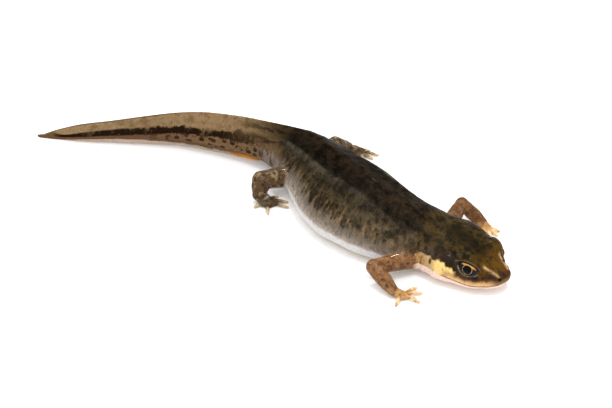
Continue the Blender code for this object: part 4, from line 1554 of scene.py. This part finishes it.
@dataclass
class Skin:
    """The one continuous skin of the animal."""

    voxel: float = 0.09
    most_triangles: int = 190000
    snout_stations: tuple = (0.08, 0.2, 0.4, 0.6, 0.8)
    body_stations: tuple = (1.05, 82.3, 0.3)
    snout_rise: tuple = (1.4, 2.4)
    snout_height: float = 1.9

    def raw(self) -> list:
        """The closed forms that the skin wraps, as objects."""
        rings = []
        for at in np.concatenate([self.snout_stations, np.arange(*self.body_stations)]):
            half = SPINE.profile(at)
            blunt = 1 - float(ramp(at, 0, SPINE.blunt_length))
            ahead = SPINE.overhang * blunt * ramp(half[:, 1], *self.snout_rise)
            right = SPINE.place(at, half[:, 0], half[:, 1], ahead)
            left = SPINE.place(at, -half[:, 0], half[:, 1], ahead)
            rings.append(np.concatenate([right, left[::-1]]))
        rings = np.array(rings)
        tip = SPINE.place(0.0, 0.0, self.snout_height, SPINE.overhang / 2)
        shells = [Shell.loft(rings, tip, rings[-1].mean(0))]
        shells += [Shell.ball(socket.axes()[0], (socket.outside,) * 3) for socket in SOCKETS]
        paths = []
        for limb in LIMBS:
            shells += limb.shells()
            paths.append(limb.bones())
            paths += limb.digit_paths()
        draft = bpy.data.materials.new("draft")
        return [mesh_of("body", shells), SweptTubes().build("tubes", paths, draft)]

    def build(self) -> bpy.types.Object:
        """Wraps, smooths, carves and thins the skin."""
        pieces = self.raw()
        whole = self.joined(pieces)
        wrap = whole.modifiers.new("wrap", "REMESH")
        wrap.mode = "VOXEL"
        wrap.voxel_size = self.voxel * MM
        applied(whole)
        LOG.info("skin wrapped: %d points", len(whole.data.vertices))
        form = Sculpture(whole.data)
        form.read()
        everywhere = np.ones(len(form.points))
        form.relax(3, everywhere)
        form.measure()
        form.blend(14, self.creases(form))
        form.blend(60, self.brows(form))
        form.carve()
        form.relax(1, everywhere * 0.6)
        form.write()
        count = sum(len(face.vertices) - 2 for face in whole.data.polygons)
        thin = whole.modifiers.new("thin", "DECIMATE")
        thin.ratio = min(self.most_triangles / count, 1)
        thin.use_collapse_triangulate = True
        applied(whole)
        self.note(whole)
        whole.data.shade_smooth()
        return whole

    @staticmethod
    def joined(pieces: Sequence[bpy.types.Object]) -> bpy.types.Object:
        """Makes one object of several, under the name of the skin.

        Args:
            pieces: The objects, which go.

        Returns:
            The new object.
        """
        bm = bmesh.new()
        for piece in pieces:
            bm.from_mesh(piece.data)
        mesh = bpy.data.meshes.new("newt_skin")
        bm.to_mesh(mesh)
        bm.free()
        for piece in pieces:
            bpy.data.objects.remove(piece, do_unlink=True)
        whole = bpy.data.objects.new("newt_skin", mesh)
        bpy.context.scene.collection.objects.link(whole)
        return whole

    @staticmethod
    def creases(form: Sculpture) -> np.ndarray:
        """Where forms meet and their crease is filled: leg roots and joints.

        Args:
            form: The raw skin.

        Returns:
            Share of the filling at every point.
        """
        share = np.zeros(len(form.points))
        for limb in LIMBS:
            root, bend, ankle = (np.array(joint) for joint in limb.joints)
            t, gap = beside(form.points, root, bend)
            gap = gap / smooth((0, 1), limb.radii[:2], t)
            share = np.maximum(share, ramp(-gap, -2.0, -1.2) * bump(form.size, 1.05, 0.16))
            for joint, radius in ((bend, limb.radii[2]), (ankle, limb.radii[4])):
                gap = np.linalg.norm(form.points - joint, axis=1)
                share = np.maximum(share, 0.35 * ramp(-gap, -2.0 * radius, -radius))
        return share

    @staticmethod
    def brows(form: Sculpture) -> np.ndarray:
        """Where the swelling over each eye runs out into the head.

        Args:
            form: The raw skin.

        Returns:
            Share of the filling at every point.
        """
        share = np.zeros(len(form.points))
        for socket in SOCKETS:
            past = socket.view(form.points)[0] - socket.outside
            share = np.maximum(share, ramp(-past, -0.9, -0.2) * ramp(past, 0.0, 0.1))
        return share

    @staticmethod
    def note(whole: bpy.types.Object) -> None:
        """Writes on the mesh what its colours read.

        Args:
            whole: The finished skin.
        """
        form = Sculpture(whole.data)
        form.read()
        form.measure()
        values = {
            "along": form.at,
            "level": form.band,
            "limb": form.limb,
            "digit": form.digit,
            "hind": form.hind,
            "fin": form.fin,
            "keel": form.keel,
            "rise": np.clip(form.up, -2, 2),
            "mouth": np.where(form.at < 13, form.points[:, 2] - form.mouth_height(), FAR),
            "below": ramp(-form.normals()[:, 2], 0.25, 0.8),
        }
        values.update(Skin.face_shares(form))
        for name, value in values.items():
            note_layer(whole.data, name, value)
        flow = np.stack([form.at, Skin.arc(form), np.zeros(len(form.at))], -1).astype(np.float32)
        layer = whole.data.attributes.new("flow", "FLOAT_VECTOR", "POINT")
        layer.data.foreach_set("vector", flow.reshape(-1))

    @staticmethod
    def arc(form: Sculpture) -> np.ndarray:
        """Way round the body from the top of the back.

        Args:
            form: The finished skin.

        Returns:
            Millimetres at every point, positive on the right.
        """
        names = ("top", "side", "half_width", "crest")
        top, side, wide, crest = (SPINE.field(name, form.at) for name in names)
        height, summit = form.points[:, 2], top + crest
        lower = np.hypot(wide, summit - side) + np.hypot(wide - np.abs(form.right), side - height)
        upper = np.hypot(form.right, summit - height)
        return np.where(height > side, upper, lower) * np.sign(form.right)

    @staticmethod
    def face_shares(form: Sculpture) -> dict:
        """How far each point belongs to the small marks of the face.

        Args:
            form: The finished skin.

        Returns:
            The shares by the name of their mark.
        """
        names = ("canthus", "nostril", "lid_pale", "lid_dark", "lid_fold")
        canthus, nostril, pale, dark, fold = (np.zeros(len(form.points)) for _ in names)
        for side in Side:
            gap = beside(form.points, *form.canthus(side))[1]
            canthus = np.maximum(canthus, bump(gap, 0, 0.19))
            # Share of each nostril opening, which gets painted shade.
            nostril = np.maximum(nostril, ramp(-form.nostril_gap(side), -0.26, -0.14))
        for socket in SOCKETS:
            edge = socket.rim(form.points)
            reach, _, above, _ = socket.view(form.points)
            near = reach < socket.outside + 0.5
            # Share of the pale lower lid rim, which carries a painted glint.
            pale = np.maximum(pale, bump(edge, 0.04, 0.038) * near * ramp(-above, 0.0, 0.3))
            dark = np.maximum(dark, bump(edge, 0.10, 0.12) * near * ramp(above, 0.1, 0.5))
            fold = np.maximum(fold, bump(edge, 0.34, 0.08) * near * ramp(above, 0.0, 0.4))
        return dict(zip(names, (canthus, nostril, pale, dark, fold)))


@dataclass
class Eye:
    """One eyeball with a slightly raised clear front."""

    socket: Socket
    rows: int = 40
    columns: int = 56
    bulge: float = 0.03
    bulge_width: float = 0.75
    pupil_length: float = 0.92

    def build(self, name: str) -> bpy.types.Object:
        """Makes the eyeball and writes on it what its colours read.

        Args:
            name: Name of the object.

        Returns:
            The eyeball.
        """
        centre, out, along, up = self.socket.axes()
        polar = np.linspace(0, math.pi, self.rows + 1)[1:-1]
        around = np.linspace(0, 2 * math.pi, self.columns, endpoint=False)
        radius = self.socket.radius * (1 + self.bulge * bump(polar, 0, self.bulge_width))
        circle = np.cos(around)[None, :, None] * along + np.sin(around)[None, :, None] * up
        ring = np.sin(polar)[:, None, None] * circle
        rings = centre + radius[:, None, None] * (ring + np.cos(polar)[:, None, None] * out)
        front = centre + out * self.socket.radius * (1 + self.bulge)
        back = centre - out * self.socket.radius
        eye = mesh_of(name, [Shell.loft(rings, front, back)])
        bm = bmesh.new()
        bm.from_mesh(eye.data)
        bmesh.ops.recalc_face_normals(bm, faces=bm.faces)
        bm.to_mesh(eye.data)
        bm.free()
        flat = np.empty(len(eye.data.vertices) * 3)
        eye.data.vertices.foreach_get("co", flat)
        points = flat.reshape(-1, 3) / MM + PLAN_CENTRE
        _, across, above, _ = self.socket.view(points)
        note_layer(eye.data, "ring", np.hypot(across * self.pupil_length, above))
        note_layer(eye.data, "above", above)
        eye.data.shade_smooth()
        return eye


@dataclass
class Newt:
    """The whole animal: its skin and eyes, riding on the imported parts."""

    finish: SkinFinish = SkinFinish()
    eye_finish: EyeFinish = EyeFinish()

    def build(self) -> None:
        """Builds and dresses every piece."""
        flesh = [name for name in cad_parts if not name.startswith("eye_")]
        skin = Skin().build()
        skin.data.materials.clear()
        skin.data.materials.append(self.finish.material())
        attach(skin, "root")
        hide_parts(*flesh)
        LOG.info("%s: %d faces", skin.name, len(skin.data.polygons))
        look = self.eye_finish.material()
        for socket in SOCKETS:
            node = f"eye_{socket.side.name.lower()}"
            eye = Eye(socket).build(f"{node}_ball")
            eye.data.materials.append(look)
            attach(eye, "root")
            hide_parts(node)
            LOG.info("%s: %d faces", eye.name, len(eye.data.polygons))


@dataclass(frozen=True)
class Lamp:
    """A round lamp that looks at the animal: place and size in metres, power in watts."""

    name: str
    place: tuple
    size: float
    power: float

    def hang(self) -> None:
        """Puts the lamp into the scene."""
        light = bpy.data.lights.new(self.name, "AREA")
        light.shape = "DISK"
        light.size = self.size
        light.energy = self.power
        holder = bpy.data.objects.new(self.name, light)
        bpy.context.scene.collection.objects.link(holder)
        holder.location = self.place
        holder.rotation_euler = Vector(self.place).to_track_quat("Z", "Y").to_euler()


@dataclass
class Studio:
    """Pale floor, soft lights and the camera."""

    azimuth: float = 27.0
    elevation: float = 38.0
    distance: float = 260.0
    pixels_per_mm: float = 6.8
    picture_width: int = 612
    sensor: float = 36.0
    nearest: float = 0.001
    floor_half: float = 1.5
    paper: float = 0.90
    glow: float = 0.11
    surround: float = 0.75
    lamps: tuple = (
        Lamp("over", (0.00, -0.12, 0.50), 0.60, 1.6),
        Lamp("glint", (-0.10, 0.26, 0.42), 0.045, 0.90),
        Lamp("fill", (0.12, -0.06, 0.48), 0.030, 0.45),
    )

    def build(self) -> None:
        """Sets the floor, lights and camera up."""
        self.floor()
        self.lights()
        self.camera()

    def floor(self) -> None:
        """A plain matt light table, far larger than the animal."""
        bm = bmesh.new()
        bmesh.ops.create_grid(bm, x_segments=1, y_segments=1, size=self.floor_half)
        mesh = bpy.data.meshes.new("studio_floor")
        bm.to_mesh(mesh)
        bm.free()
        floor = bpy.data.objects.new("studio_floor", mesh)
        bpy.context.scene.collection.objects.link(floor)
        paint = Paint("studio_paper")
        paint.feed("Base Color", (self.paper, self.paper, self.paper, 1.0))
        paint.feed("Roughness", 0.9)
        paint.feed("Specular IOR Level", 0.1)
        paint.feed("Emission Color", (1.0, 1.0, 1.0, 1.0))
        paint.feed("Emission Strength", self.glow)
        mesh.materials.append(paint.material)

    def lights(self) -> None:
        """A white surround, one broad lamp above and two small ones that give wet glints."""
        world = bpy.data.worlds.new("studio_air")
        world.use_nodes = True
        sky = world.node_tree.nodes["Background"]
        sky.inputs["Color"].default_value = (1.0, 1.0, 1.0, 1.0)
        sky.inputs["Strength"].default_value = self.surround
        bpy.context.scene.world = world
        for lamp in self.lamps:
            lamp.hang()
        bpy.context.scene.view_settings.view_transform = "Standard"

    def camera(self) -> None:
        """The photograph's point of view."""
        turn, lift = math.radians(self.azimuth), math.radians(self.elevation)
        back = Vector((math.sin(turn) * math.cos(lift), -math.cos(turn) * math.cos(lift), math.sin(lift)))
        target = Vector(-PLAN_CENTRE) * MM
        lens = bpy.data.cameras.new("camera")
        lens.sensor_fit = "HORIZONTAL"
        lens.sensor_width = self.sensor
        lens.lens = self.sensor * self.pixels_per_mm * self.distance / self.picture_width
        lens.clip_start = self.nearest
        holder = bpy.data.objects.new("camera", lens)
        bpy.context.scene.collection.objects.link(holder)
        holder.location = target + back * self.distance * MM
        holder.rotation_euler = back.to_track_quat("Z", "Y").to_euler()
        bpy.context.scene.camera = holder


def main() -> None:
    """Builds the animal and its studio, and notes the size before and after."""
    logging.basicConfig(level=logging.INFO, format="%(name)s: %(message)s")
    Newt().build()
    Studio().build()


if __name__ == "__main__":
    main()
